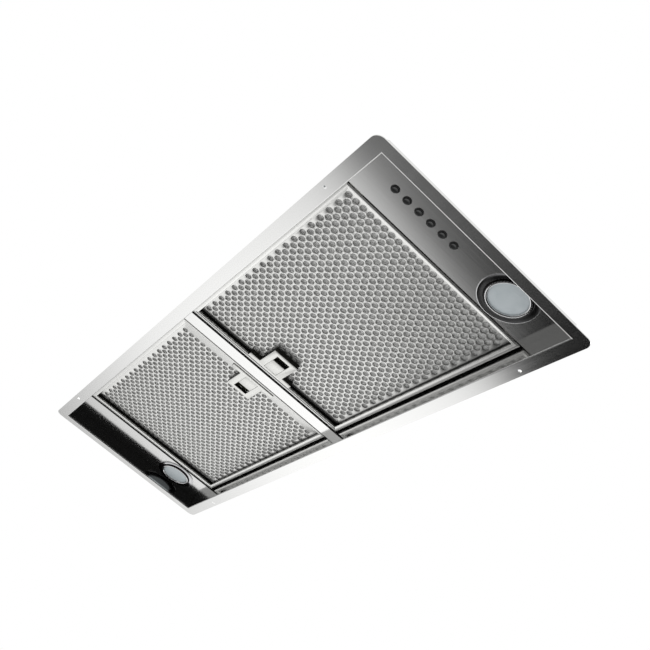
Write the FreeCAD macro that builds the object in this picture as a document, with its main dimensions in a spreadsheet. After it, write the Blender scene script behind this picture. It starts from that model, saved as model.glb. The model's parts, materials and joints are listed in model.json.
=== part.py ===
"""Range hood insert: a flanged stainless tray with two hinged grease filters, two lamps,
six push buttons and a ducted blower above it.

Frame: origin at the centre of the flange's underside, +X along the length towards the
control panel, +Y towards the rear, +Z up into the cabinet. Millimetres.
"""
import FreeCAD, Part
import math
import os
import re

import Sketcher

Vector = FreeCAD.Vector
Rotation = FreeCAD.Rotation
Placement = FreeCAD.Placement

doc = FreeCAD.newDocument("range_hood_insert")

# ---------------------------------------------------------------- driving dimensions
SIZES = [
    # pan: flange, skirt and its screw holes
    ("flange_length", 890, "flange, end to end"),
    ("flange_width", 300, "flange, front to rear"),
    ("corner_radius", 10, "flange corners in plan"),
    ("rim_end", 15, "flange edge to the skirt's inner face, at the ends"),
    ("rim_side", 18, "flange edge to the skirt's inner face, at the sides"),
    ("pan_sheet", 1.2, "sheet of flange and skirt"),
    ("bend_radius", 1.5, "rounded inner edge of the flange"),
    ("tray_height", 70, "top of the skirt's long sides above the flange's underside"),
    ("end_lean", 0.85, "lean of the tray's ends above the panels, along per height"),
    ("mount_hole_from_end", 93, "flange screw holes, from the flange's ends"),
    ("mount_hole_from_side", 7, "flange screw holes, from the flange's long edges"),
    ("mount_hole_radius", 2.1, "flange screw holes"),
    ("sheet", 1.0, "sheet of panels, crossbar, roof, chamber and scroll"),
    ("slip", 0.3, "clearance between pieces that move past each other"),
    # end panels and crossbar
    ("panel_face", 20.5, "height of the panels' and crossbar's lower face"),
    ("panel_length", 69, "end panel, along the hood"),
    ("panel_web", 27.5, "height of the panels' inner web"),
    ("crossbar_width", 21, "crossbar, along the hood"),
    ("crossbar_web", 24.5, "height of the crossbar's webs"),
    # filters
    ("filter_step", 1, "filter face above the panels' face"),
    ("filter_height", 11.5, "filter frame, bottom to top"),
    ("filter_gap_bar", 2.5, "filter to crossbar"),
    ("filter_gap_hinge", 3, "filter to panel web"),
    ("filter_gap_side", 3, "filter to skirt"),
    ("rail_width", 6.5, "filter frame, face width"),
    ("rail_sheet", 0.8, "filter frame sheet"),
    ("face_setback", 7.5, "perforated face above the frame's face"),
    ("face_sheet", 0.8, "perforated face"),
    ("rail_lip", 5, "lip folded over the mesh pack"),
    # hinge tongues
    ("tongue_from_side", 14, "tongue centres, from the filter's long edges"),
    ("tongue_width", 18, "tongue, across"),
    ("tongue_reach", 8.5, "tongue, beyond its plate"),
    ("tongue_sheet", 1.0, "tongue sheet"),
    ("pivot_rise", 5, "pivot line above the filter's face"),
    # latch
    ("latch_drop", 0.5, "latch face below the filter's face"),
    ("latch_base_length", 6.5, "cross of the latch housing, along the hood"),
    ("latch_base_width", 72, "cross of the latch housing, across"),
    ("latch_tab_length", 45.5, "latch housing from the rail"),
    ("latch_tab_width", 39.4, "latch housing, across"),
    ("latch_window_start", 4, "window from the rail"),
    ("latch_window_length", 35.5, "window, along the hood"),
    ("latch_window_width", 21.2, "window, across"),
    ("latch_pad_length", 22.5, "finger pad"),
    ("latch_bolt_width", 16, "bolt, across"),
    ("latch_bolt_height", 1.5, "bolt, thickness"),
    ("latch_bolt_rise", 4, "bolt above the latch face"),
    ("latch_travel", 7, "slide of the latch"),
    # lamps and buttons
    ("row_from_end", 35, "lamp and button centres from the end wall"),
    ("lamp_y", 71, "lamp centre, from the middle"),
    ("lamp_hole_radius", 30, "hole in the panel"),
    ("lamp_ring_radius", 34, "bezel, outside"),
    ("lamp_skirt_radius", 29.5, "bezel skirt, outside"),
    ("lamp_eye_radius", 22, "opening of the bezel"),
    ("lamp_can_top", 44, "top of the lamp can"),
    ("button_row_y", -51.4, "middle of the button row"),
    ("button_pitch", 16.5, "button to button"),
    ("button_radius", 3.7, "button cap"),
    ("collar_radius", 4.9, "black collar round each button"),
    ("button_travel", 1.5, "press of a button"),
    ("board_height", 36, "underside of the switch board"),
    # blower and its chamber
    ("chamber_length", 400, "motor chamber, along the hood"),
    ("chamber_gap", 5, "scroll to the chamber's rear wall"),
    ("chamber_front", 106, "chamber's front wall, from the middle"),
    ("throat_height", 92, "blower shaft to the top of the chamber"),
    ("roof_lap_end", 40, "tray roof inside the chamber, at its ends"),
    ("roof_lap_side", 10, "tray roof inside the chamber, at its sides"),
    ("wheel_radius", 65, "blower wheel"),
    ("wheel_width", 104, "blower wheel, along its shaft"),
    ("blade_depth", 13, "blade ring, radially"),
    ("blade_count", 28, "blades on the wheel"),
    ("scroll_clearance", 8, "wheel to the scroll's first radius"),
    ("scroll_rise", 3.5, "scroll above the tray roof"),
    ("scroll_growth", 7, "growth of the scroll in each quarter turn"),
    ("scroll_width", 116, "scroll, along the shaft"),
    ("inlet_lap", 2, "scroll inlet inside the blade ring"),
    ("motor_gap", 12, "air gap round the motor in its inlet"),
    ("motor_length", 54, "motor can"),
    ("shaft_radius", 4, "motor shaft"),
    ("bearing_clearance", 0.05, "shaft in its bearings, radially"),
    # duct collar and damper
    ("duct_radius", 74, "outside of the collar, for a 150 mm duct"),
    ("duct_height", 40, "collar above the chamber"),
    ("duct_sheet", 1.2, "collar wall"),
    ("collar_ring_width", 18, "screwed ring, beyond the collar"),
    ("collar_screw_reach", 10, "screws, beyond the collar"),
    ("flap_pin_rise", 24, "damper pin above the chamber"),
    ("flap_pin_radius", 1.5, "damper pin"),
    # electrics
    ("terminal_gap", 22, "terminal box to the chamber's wall"),
    ("terminal_y", 50, "terminal box, front face"),
    ("terminal_length", 72, "terminal box"),
    ("terminal_width", 60, "terminal box"),
    ("terminal_height", 32, "terminal box"),
    ("gland_bore_radius", 4.5, "cable passage of the gland"),
    # fasteners
    ("screw_radius", 1.6, "screw shanks"),
    ("screw_head_radius", 3.4, "screw heads"),
    ("screw_head_height", 1.8, "screw heads"),
]

sheet = doc.addObject("Spreadsheet::Sheet", "Sizes")
for row, (alias, value, note) in enumerate(SIZES, start=1):
    sheet.set("A%d" % row, alias)
    sheet.set("B%d" % row, str(value))
    sheet.set("C%d" % row, note)
    sheet.setAlias("B%d" % row, alias)
doc.recompute()

ALIAS = re.compile(r"\b(%s)\b" % "|".join(sorted((s[0] for s in SIZES), key=len, reverse=True)))

# lines and faces that several pieces share, as formulas of the cells
END = "(flange_length / 2 - rim_end)"
SIDE = "(flange_width / 2 - rim_side)"
EDGE = f"({END} - panel_length)"
ROW_X = f"({END} - row_from_end)"
BAR = "(crossbar_width / 2)"
FACE_TOP = "(panel_face + sheet)"
FILTER_IN = f"({BAR} + filter_gap_bar)"
FILTER_OUT = f"({EDGE} - filter_gap_hinge)"
FILTER_SIDE = f"({SIDE} - filter_gap_side)"
FILTER_FACE = "(panel_face + filter_step)"
FILTER_TOP = f"({FILTER_FACE} + filter_height)"
SCREEN = f"({FILTER_FACE} + face_setback)"
RAIL_IN = f"({FILTER_IN} + rail_width)"
LATCH_FACE = f"({FILTER_FACE} - latch_drop)"
BOLT_LOW = f"({LATCH_FACE} + latch_bolt_rise)"
PIVOT_Z = f"({FILTER_FACE} + pivot_rise)"
ROOF_LOW = "tray_height"
ROOF_TOP = "(tray_height + sheet)"
HOLE_X = "(flange_length / 2 - mount_hole_from_end)"
HOLE_Y = "(flange_width / 2 - mount_hole_from_side)"
TONGUE_Y = f"({FILTER_SIDE} - tongue_from_side)"
SCROLL_START = "(wheel_radius + scroll_clearance)"
SCROLL_END = f"({SCROLL_START} + 2 * scroll_growth)"
SCROLL_X = "(scroll_width / 2)"
AXIS_Y = f"({SCROLL_END} / 2)"
AXIS_Z = f"({ROOF_TOP} + scroll_rise + {SCROLL_START} + 1.5 * scroll_growth)"
INLET = "(wheel_radius - blade_depth - inlet_lap)"
MOTOR_RADIUS = f"({INLET} - motor_gap)"
MOTOR_X = f"({SCROLL_X} + 3 * sheet)"
CHAMBER_X = "(chamber_length / 2)"
CHAMBER_Y = f"({AXIS_Y} + scroll_growth / 2 + {SCROLL_START} + chamber_gap)"
CHAMBER_TOP = f"({AXIS_Z} + throat_height)"
PIN_Z = f"({CHAMBER_TOP} + flap_pin_rise)"
LEAN_SHEET = "(1.312 * sheet)"
TERMINAL_X = f"({CHAMBER_X} + terminal_gap)"


def sheet_words(text):
    """Write a formula so that it reads the sheet's cells."""
    return ALIAS.sub(r"Sizes.\1", str(text))


gauge = doc.addObject("App::FeaturePython", "gauge")
gauge.addProperty("App::PropertyFloat", "Reading")


def value_of(text):
    """The present value of a formula, for first drawing a sketch and picking edges."""
    gauge.setExpression("Reading", sheet_words(text))
    gauge.recompute()
    return gauge.Reading


def bind(thing, prop, text):
    thing.setExpression(prop, sheet_words(text))


# ---------------------------------------------------------------- ways of making a piece
def block(label, x0, x1, y0, y1, z0, z1):
    """A box between two corners."""
    piece = doc.addObject("Part::Box", label)
    for prop, low, high in (("Length", x0, x1), ("Width", y0, y1), ("Height", z0, z1)):
        bind(piece, prop, f"{high} - ({low})")
    for axis, low in (("x", x0), ("y", y0), ("z", z0)):
        bind(piece, f"Placement.Base.{axis}", low)
    return piece


TURNS = {
    "z": Rotation(),
    "x": Rotation(Vector(1, 1, 1), 120),
    "y": Rotation(Vector(1, 1, 1), 240),
}


def rod(label, axis, at, radius, length):
    """A cylinder that starts at a point and runs along +X, +Y or +Z."""
    piece = doc.addObject("Part::Cylinder", label)
    piece.Placement = Placement(Vector(), TURNS[axis])
    bind(piece, "Radius", radius)
    bind(piece, "Height", length)
    for name, text in zip("xyz", at):
        bind(piece, f"Placement.Base.{name}", text)
    return piece


def fuse(label, pieces):
    whole = doc.addObject("Part::MultiFuse", label)
    whole.Shapes = pieces
    return whole


def cut(label, base, tools):
    """Take the tools away from the base."""
    piece = doc.addObject("Part::Cut", label)
    piece.Base = base
    piece.Tool = tools[0] if len(tools) == 1 else fuse(label + "_tools", tools)
    return piece


def group(label, pieces):
    """Separate solids that share one node."""
    bundle = doc.addObject("Part::Compound", label)
    bundle.Links = pieces
    return bundle


def mirrored(label, source):
    """The same piece on the other side of the crossbar."""
    piece = doc.addObject("Part::Mirroring", label)
    piece.Source = source
    piece.Normal = Vector(1, 0, 0)
    return piece


def tube(label, axis, at, outer, inner, length):
    return cut(label, rod(label + "_outer", axis, at, outer, length),
               [rod(label + "_bore", axis, at, inner, length)])


def new_body(label):
    return doc.addObject("PartDesign::Body", label)


def sketch_on(body, role, offset="0"):
    """A sketch on one of the body's own planes, moved along the plane's normal."""
    plane = [item for item in body.Origin.OriginFeatures if item.Role == role][0]
    sketch = body.newObject("Sketcher::SketchObject", body.Name + "_sketch")
    sketch.AttachmentSupport = [(plane, "")]
    sketch.MapMode = "FlatFace"
    bind(sketch, "AttachmentOffset.Base.z", offset)
    return sketch


def hold(sketch, kind, geometry, point, text):
    """Fix a point's distance from the sketch's origin to a formula."""
    number = sketch.addConstraint(
        Sketcher.Constraint(kind, -1, 1, geometry, point, value_of(text)))
    sketch.setExpression(f"Constraints[{number}]", sheet_words(text))


def outline(sketch, points):
    """A closed run of straight lines through points given as formulas."""
    first = sketch.GeometryCount
    corners = [Vector(value_of(u), value_of(v), 0) for u, v in points]
    for here, there in zip(corners, corners[1:] + corners[:1]):
        sketch.addGeometry(Part.LineSegment(here, there), False)
    count = len(points)
    for step in range(count):
        sketch.addConstraint(Sketcher.Constraint(
            "Coincident", first + step, 2, first + (step + 1) % count, 1))
    for step, (u, v) in enumerate(points):
        hold(sketch, "DistanceX", first + step, 1, u)
        hold(sketch, "DistanceY", first + step, 1, v)


def rectangle(sketch, u0, v0, u1, v1):
    outline(sketch, [(u0, v0), (u1, v0), (u1, v1), (u0, v1)])


def centred(sketch, half_u, half_v):
    rectangle(sketch, f"-({half_u})", f"-({half_v})", half_u, half_v)


def circle(sketch, u, v, radius):
    centre = Vector(value_of(u), value_of(v), 0)
    number = sketch.addGeometry(
        Part.Circle(centre, Vector(0, 0, 1), value_of(radius)), False)
    hold(sketch, "DistanceX", number, 3, u)
    hold(sketch, "DistanceY", number, 3, v)
    index = sketch.addConstraint(Sketcher.Constraint("Radius", number, value_of(radius)))
    sketch.setExpression(f"Constraints[{index}]", sheet_words(radius))


def pad(body, sketch, length, both_ways=False):
    feature = body.newObject("PartDesign::Pad", body.Name + "_pad")
    feature.Profile = sketch
    bind(feature, "Length", length)
    feature.SideType = "Symmetric" if both_ways else "One side"
    sketch.Visibility = False
    return feature


def pocket(body, sketch, length, both_ways=False):
    """Cut along the sketch's normal, and check that it takes something away."""
    doc.recompute()
    before = body.Shape.Volume
    feature = body.newObject("PartDesign::Pocket", body.Name + "_pocket")
    feature.Profile = sketch
    bind(feature, "Length", length)
    feature.SideType = "Symmetric" if both_ways else "One side"
    feature.Reversed = not both_ways
    doc.recompute()
    if not body.Shape.Volume < before:
        raise ValueError(feature.Name + " cuts nothing")
    return feature


def turned(body, centre, points):
    """A profile of radii and heights, turned about a vertical line."""
    sketch = sketch_on(body, "XZ_Plane", f"-({centre[1]})")
    bind(sketch, "AttachmentOffset.Base.x", centre[0])
    outline(sketch, points)
    feature = body.newObject("PartDesign::Revolution", body.Name + "_turned")
    feature.Profile = sketch
    feature.ReferenceAxis = (sketch, ["V_Axis"])
    feature.Angle = 360
    return feature


def round_edges(body, feature, radius, wanted):
    """Fillet the edges that the test picks."""
    doc.recompute()
    names = [f"Edge{number}" for number, edge in enumerate(feature.Shape.Edges, start=1)
             if wanted(edge)]
    if not names:
        raise ValueError("no edges to round on " + body.Name)
    fillet = body.newObject("PartDesign::Fillet", body.Name + "_fillet")
    fillet.Base = (feature, names)
    bind(fillet, "Radius", radius)
    return fillet


def near(first, second):
    return abs(first - second) < 1e-4


nodes = {}


def keep(piece):
    """Count a finished piece as a node of the hood."""
    nodes[piece.Label] = piece
    return piece


# ---------------------------------------------------------------- pan and tray
RIVET_XS = [f"{side} * {x}" for side in (-1, 1) for x in (110, f"({END} - 100)")]
RIVET_Z = "(tray_height - 6)"


def lean_x(z):
    """The outer face of the tray's leaning end at a height."""
    return f"({END} + pan_sheet - end_lean * ({z} - panel_face))"


def make_pan_frame():
    """The pressed flange and its skirt, one folded and welded sheet."""
    body = new_body("pan_frame")
    flange = sketch_on(body, "XY_Plane")
    centred(flange, "flange_length / 2", "flange_width / 2")
    centred(flange, END, SIDE)
    for x in (HOLE_X, "-" + HOLE_X):
        for y in (HOLE_Y, "-" + HOLE_Y):
            circle(flange, x, y, "mount_hole_radius")
    plate = pad(body, flange, "pan_sheet")
    corner_x = value_of("flange_length / 2")
    corner_y = value_of("flange_width / 2")

    def is_corner(edge):
        middle = edge.CenterOfMass
        return near(abs(middle.x), corner_x) and near(abs(middle.y), corner_y)

    round_edges(body, plate, "corner_radius", is_corner)
    skirt = sketch_on(body, "XY_Plane")
    centred(skirt, f"{END} + pan_sheet", f"{SIDE} + pan_sheet")
    centred(skirt, END, SIDE)
    wall = pad(body, skirt, "tray_height")
    inner_x = value_of(END)
    inner_y = value_of(SIDE)

    def is_inner_bend(edge):
        middle = edge.CenterOfMass
        on_end = near(abs(middle.x), inner_x) and near(middle.y, 0)
        on_side = near(abs(middle.y), inner_y) and near(middle.x, 0)
        return near(middle.z, 0) and (on_end or on_side)

    round_edges(body, wall, "bend_radius", is_inner_bend)
    ends = sketch_on(body, "XZ_Plane")
    above = "(tray_height + 5)"
    for side in (1, -1):
        outline(ends, [(f"{side} * {x}", z) for x, z in (
            (f"({lean_x(FACE_TOP)} - {LEAN_SHEET})", FACE_TOP),
            (f"({END} + 20)", FACE_TOP),
            (f"({END} + 20)", above),
            (f"({lean_x(above)} - {LEAN_SHEET})", above))])
    pocket(body, ends, "2 * flange_width", both_ways=True)
    sides = sketch_on(body, "XZ_Plane")
    for x in RIVET_XS:
        circle(sides, x, RIVET_Z, "screw_radius")
    pocket(body, sides, "2 * flange_width", both_ways=True)
    keep(body)


def make_tray_roof():
    """The lid of the tray with its leaning ends and side lips, open to the blower."""
    body = new_body("tray_roof")
    section = sketch_on(body, "XZ_Plane")
    outer = [(lean_x(FACE_TOP), FACE_TOP), (lean_x(ROOF_TOP), ROOF_TOP)]
    inner = [(f"({lean_x(ROOF_LOW)} - {LEAN_SHEET})", ROOF_LOW),
             (f"({lean_x(FACE_TOP)} - {LEAN_SHEET})", FACE_TOP)]
    across = [(f"-{x}", z) for x, z in reversed(outer)]
    back = [(f"-{x}", z) for x, z in reversed(inner)]
    outline(section, outer + across + back + inner)
    pad(body, section, f"2 * ({SIDE} + pan_sheet)", both_ways=True)
    lips = sketch_on(body, "XY_Plane", f"{ROOF_LOW} - 12")
    for y0, y1 in ((f"{SIDE} + pan_sheet", f"{SIDE} + pan_sheet + sheet"),
                   (f"-({SIDE} + pan_sheet + sheet)", f"-({SIDE} + pan_sheet)")):
        rectangle(lips, f"-{lean_x(ROOF_TOP)}", y0, lean_x(ROOF_TOP), y1)
    pad(body, lips, "12 + sheet")
    holes = sketch_on(body, "XY_Plane", f"{ROOF_LOW} - 1")
    rectangle(holes, f"-({CHAMBER_X} - roof_lap_end)", "-(chamber_front - roof_lap_side)",
              f"{CHAMBER_X} - roof_lap_end", f"{CHAMBER_Y} - roof_lap_side")
    for x, y in foot_screws():
        circle(holes, x, y, "screw_radius")
    circle(holes, f"{TERMINAL_X} + terminal_length / 2", "terminal_y + terminal_width / 2", 8)
    pocket(body, holes, "sheet + 2")
    sides = sketch_on(body, "XZ_Plane")
    for x in RIVET_XS:
        circle(sides, x, RIVET_Z, "screw_radius")
    pocket(body, sides, "2 * flange_width", both_ways=True)
    keep(body)


def make_end_panel(label, side, button_holes):
    """A folded panel between the filters and an end wall; side is 1 or -1."""
    body = new_body(label)
    section = sketch_on(body, "XZ_Plane")
    outline(section, [(f"{side} * ({x})", z) for x, z in (
        (EDGE, "panel_face"),
        (END, "panel_face"),
        (END, FACE_TOP),
        (f"{EDGE} + sheet", FACE_TOP),
        (f"{EDGE} + sheet", "panel_face + panel_web"),
        (EDGE, "panel_face + panel_web"),
    )])
    pad(body, section, f"2 * {SIDE}", both_ways=True)
    holes = sketch_on(body, "XY_Plane", "panel_face - 1")
    circle(holes, f"{side} * {ROW_X}", "lamp_y", "lamp_hole_radius")
    if button_holes:
        for y in button_rows():
            circle(holes, ROW_X, y, "collar_radius + 0.2")
    pocket(body, holes, "sheet + 1.5")
    slots = sketch_on(body, "YZ_Plane", f"{side} * ({EDGE} - 1)" if side > 0 else f"-({EDGE} + 2)")
    for y in (TONGUE_Y, "-" + TONGUE_Y):
        rectangle(slots, f"{y} - tongue_width / 2 - 0.6", f"{PIVOT_Z} - 0.6",
                  f"{y} + tongue_width / 2 + 0.6", f"{PIVOT_Z} + tongue_sheet + 1.1")
    pocket(body, slots, "3")
    keep(body)


def make_crossbar():
    """The channel between the filters, with a keeper slot for each latch."""
    body = new_body("crossbar")
    section = sketch_on(body, "XZ_Plane")
    outline(section, [
        (f"-{BAR}", "panel_face"),
        (BAR, "panel_face"),
        (BAR, "panel_face + crossbar_web"),
        (f"{BAR} - sheet", "panel_face + crossbar_web"),
        (f"{BAR} - sheet", FACE_TOP),
        (f"-({BAR} - sheet)", FACE_TOP),
        (f"-({BAR} - sheet)", "panel_face + crossbar_web"),
        (f"-{BAR}", "panel_face + crossbar_web"),
    ])
    pad(body, section, f"2 * {SIDE}", both_ways=True)
    keepers = sketch_on(body, "YZ_Plane")
    rectangle(keepers, "-latch_bolt_width / 2 - 1", f"{BOLT_LOW} - 0.6",
              "latch_bolt_width / 2 + 1", f"{BOLT_LOW} + latch_bolt_height + 0.6")
    pocket(body, keepers, "crossbar_width + 2", both_ways=True)
    keep(body)


# ---------------------------------------------------------------- filters and latches
def ring_pad(body, inset, width, low, height):
    """One folded leaf of the filter frame, all round the filter."""
    ring = sketch_on(body, "XY_Plane", low)
    rectangle(ring, f"{FILTER_IN} + ({inset})", f"-({FILTER_SIDE} - ({inset}))",
              f"{FILTER_OUT} - ({inset})", f"{FILTER_SIDE} - ({inset})")
    inner = f"({inset} + {width})"
    rectangle(ring, f"{FILTER_IN} + {inner}", f"-({FILTER_SIDE} - {inner})",
              f"{FILTER_OUT} - {inner}", f"{FILTER_SIDE} - {inner}")
    return pad(body, ring, height)


def make_filter():
    """The near filter: folded frame, perforated face, mesh pack and hinge tongues."""
    frame = new_body("filter_frame_near")
    ring_pad(frame, "0", "rail_width", FILTER_FACE, "rail_sheet")
    ring_pad(frame, "0", "rail_sheet", FILTER_FACE, "filter_height")
    ring_pad(frame, "rail_width - rail_sheet", "rail_sheet", FILTER_FACE, "face_setback")
    ring_pad(frame, "0", "rail_lip", f"{FILTER_TOP} - rail_sheet", "rail_sheet")
    slot = sketch_on(frame, "YZ_Plane", f"{FILTER_IN} - 1")
    rectangle(slot, "-latch_bolt_width / 2 - 0.5", f"{BOLT_LOW} - 0.5",
              "latch_bolt_width / 2 + 0.5", f"{BOLT_LOW} + latch_bolt_height + 0.5")
    pocket(frame, slot, "rail_width + 1.5")
    keep(frame)
    inset = "(rail_sheet + 0.2)"
    face = block("filter_face_near", f"{FILTER_IN} + {inset}", f"{FILTER_OUT} - {inset}",
                 f"-({FILTER_SIDE} - {inset})", f"{FILTER_SIDE} - {inset}",
                 SCREEN, f"{SCREEN} + face_sheet")
    keep(face)
    mesh = block("filter_mesh_near", f"{FILTER_IN} + {inset}", f"{FILTER_OUT} - {inset}",
                 f"-({FILTER_SIDE} - {inset})", f"{FILTER_SIDE} - {inset}",
                 f"{SCREEN} + face_sheet", f"{FILTER_TOP} - rail_sheet")
    keep(mesh)
    tongues = []
    for name, y in (("front", "-" + TONGUE_Y), ("rear", TONGUE_Y)):
        plate = block(f"tongue_plate_{name}", FILTER_OUT, f"{FILTER_OUT} + tongue_sheet",
                      f"{y} - tongue_width / 2", f"{y} + tongue_width / 2",
                      PIVOT_Z, f"{FILTER_TOP} - 1")
        tongue = block(f"tongue_{name}", f"{FILTER_OUT} + tongue_sheet",
                       f"{FILTER_OUT} + tongue_sheet + tongue_reach",
                       f"{y} - tongue_width / 2", f"{y} + tongue_width / 2",
                       PIVOT_Z, f"{PIVOT_Z} + tongue_sheet")
        tongues.append(fuse(f"hinge_tongue_{name}", [plate, tongue]))
    keep(group("hinge_tongues_near", tongues))


def latch_outline(sketch, inset):
    """The T of the latch housing, drawn in by its sheet."""
    low = f"{RAIL_IN} + {inset}"
    base = f"{RAIL_IN} + latch_base_length - {inset}"
    tip = f"{RAIL_IN} + latch_tab_length - {inset}"
    wide = f"(latch_base_width / 2 - {inset})"
    slim = f"(latch_tab_width / 2 - {inset})"
    outline(sketch, [(low, f"-{wide}"), (base, f"-{wide}"), (base, f"-{slim}"),
                     (tip, f"-{slim}"), (tip, slim), (base, slim), (base, wide), (low, wide)])


def make_latch():
    """Latch housing on the filter, the slider in it, and its flat springs."""
    housing = new_body("latch_housing_near")
    shell = sketch_on(housing, "XY_Plane", LATCH_FACE)
    latch_outline(shell, "0")
    pad(housing, shell, f"{SCREEN} - {LATCH_FACE}")
    hollow = sketch_on(housing, "XY_Plane", f"{LATCH_FACE} + rail_sheet")
    latch_outline(hollow, "rail_sheet")
    pocket(housing, hollow, "face_setback + latch_drop")
    window = sketch_on(housing, "XY_Plane", f"{LATCH_FACE} - 1")
    rectangle(window, f"{RAIL_IN} + latch_window_start", "-latch_window_width / 2",
              f"{RAIL_IN} + latch_window_start + latch_window_length",
              "latch_window_width / 2")
    pocket(housing, window, "rail_sheet + 1.5")
    slot = sketch_on(housing, "YZ_Plane", f"{RAIL_IN} - 0.5")
    rectangle(slot, "-latch_bolt_width / 2 - 0.5", f"{BOLT_LOW} - 0.5",
              "latch_bolt_width / 2 + 0.5", f"{BOLT_LOW} + latch_bolt_height + 0.5")
    pocket(housing, slot, "rail_sheet + 1")
    keep(housing)

    pad_start = f"({RAIL_IN} + latch_window_start + slip)"
    pad_end = f"({pad_start} + latch_pad_length)"
    inside = f"({LATCH_FACE} + rail_sheet + slip)"
    carriage_half = "(latch_tab_width / 2 - rail_sheet - 1.2)"
    slider = fuse("latch_slider_near", [
        block("latch_pad", pad_start, pad_end,
              "-(latch_window_width / 2 - slip)", "latch_window_width / 2 - slip",
              f"{LATCH_FACE} + 0.2", f"{inside} + 1"),
        block("latch_carriage", f"{RAIL_IN} + rail_sheet + 0.6", pad_end,
              f"-{carriage_half}", carriage_half, inside,
              f"{BOLT_LOW} + latch_bolt_height"),
        block("latch_bolt", f"{BAR} + slip + 0.1", f"{RAIL_IN} + rail_sheet + 0.6",
              "-latch_bolt_width / 2", "latch_bolt_width / 2",
              BOLT_LOW, f"{BOLT_LOW} + latch_bolt_height"),
    ])
    keep(slider)

    springs = []
    wall = value_of(f"{RAIL_IN} + latch_tab_length - rail_sheet")
    start = value_of(f"{pad_end} + slip")
    folds = 6
    strip_depth = 1.0
    step = (wall - start) / folds
    for name, sign in (("front", -1), ("rear", 1)):
        near_y = value_of("latch_window_width / 2") + 1.8
        far_y = value_of(carriage_half) - strip_depth
        path = [(start + step * turn, sign * (near_y if turn % 2 else far_y))
                for turn in range(folds + 1)]
        there = [Vector(x, y, 0) for x, y in path]
        back = [Vector(x, y + sign * strip_depth, 0) for x, y in reversed(path)]
        strip = Part.Face(Part.makePolygon(there + back + [there[0]]))
        leaf = doc.addObject("Part::Feature", "latch_spring_" + name)
        leaf.Shape = strip.extrude(Vector(0, 0, value_of("latch_bolt_height") + 1))
        leaf.Placement = Placement(Vector(0, 0, value_of(inside) + 0.2), Rotation())
        springs.append(leaf)
    keep(group("latch_springs_near", springs))


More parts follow.
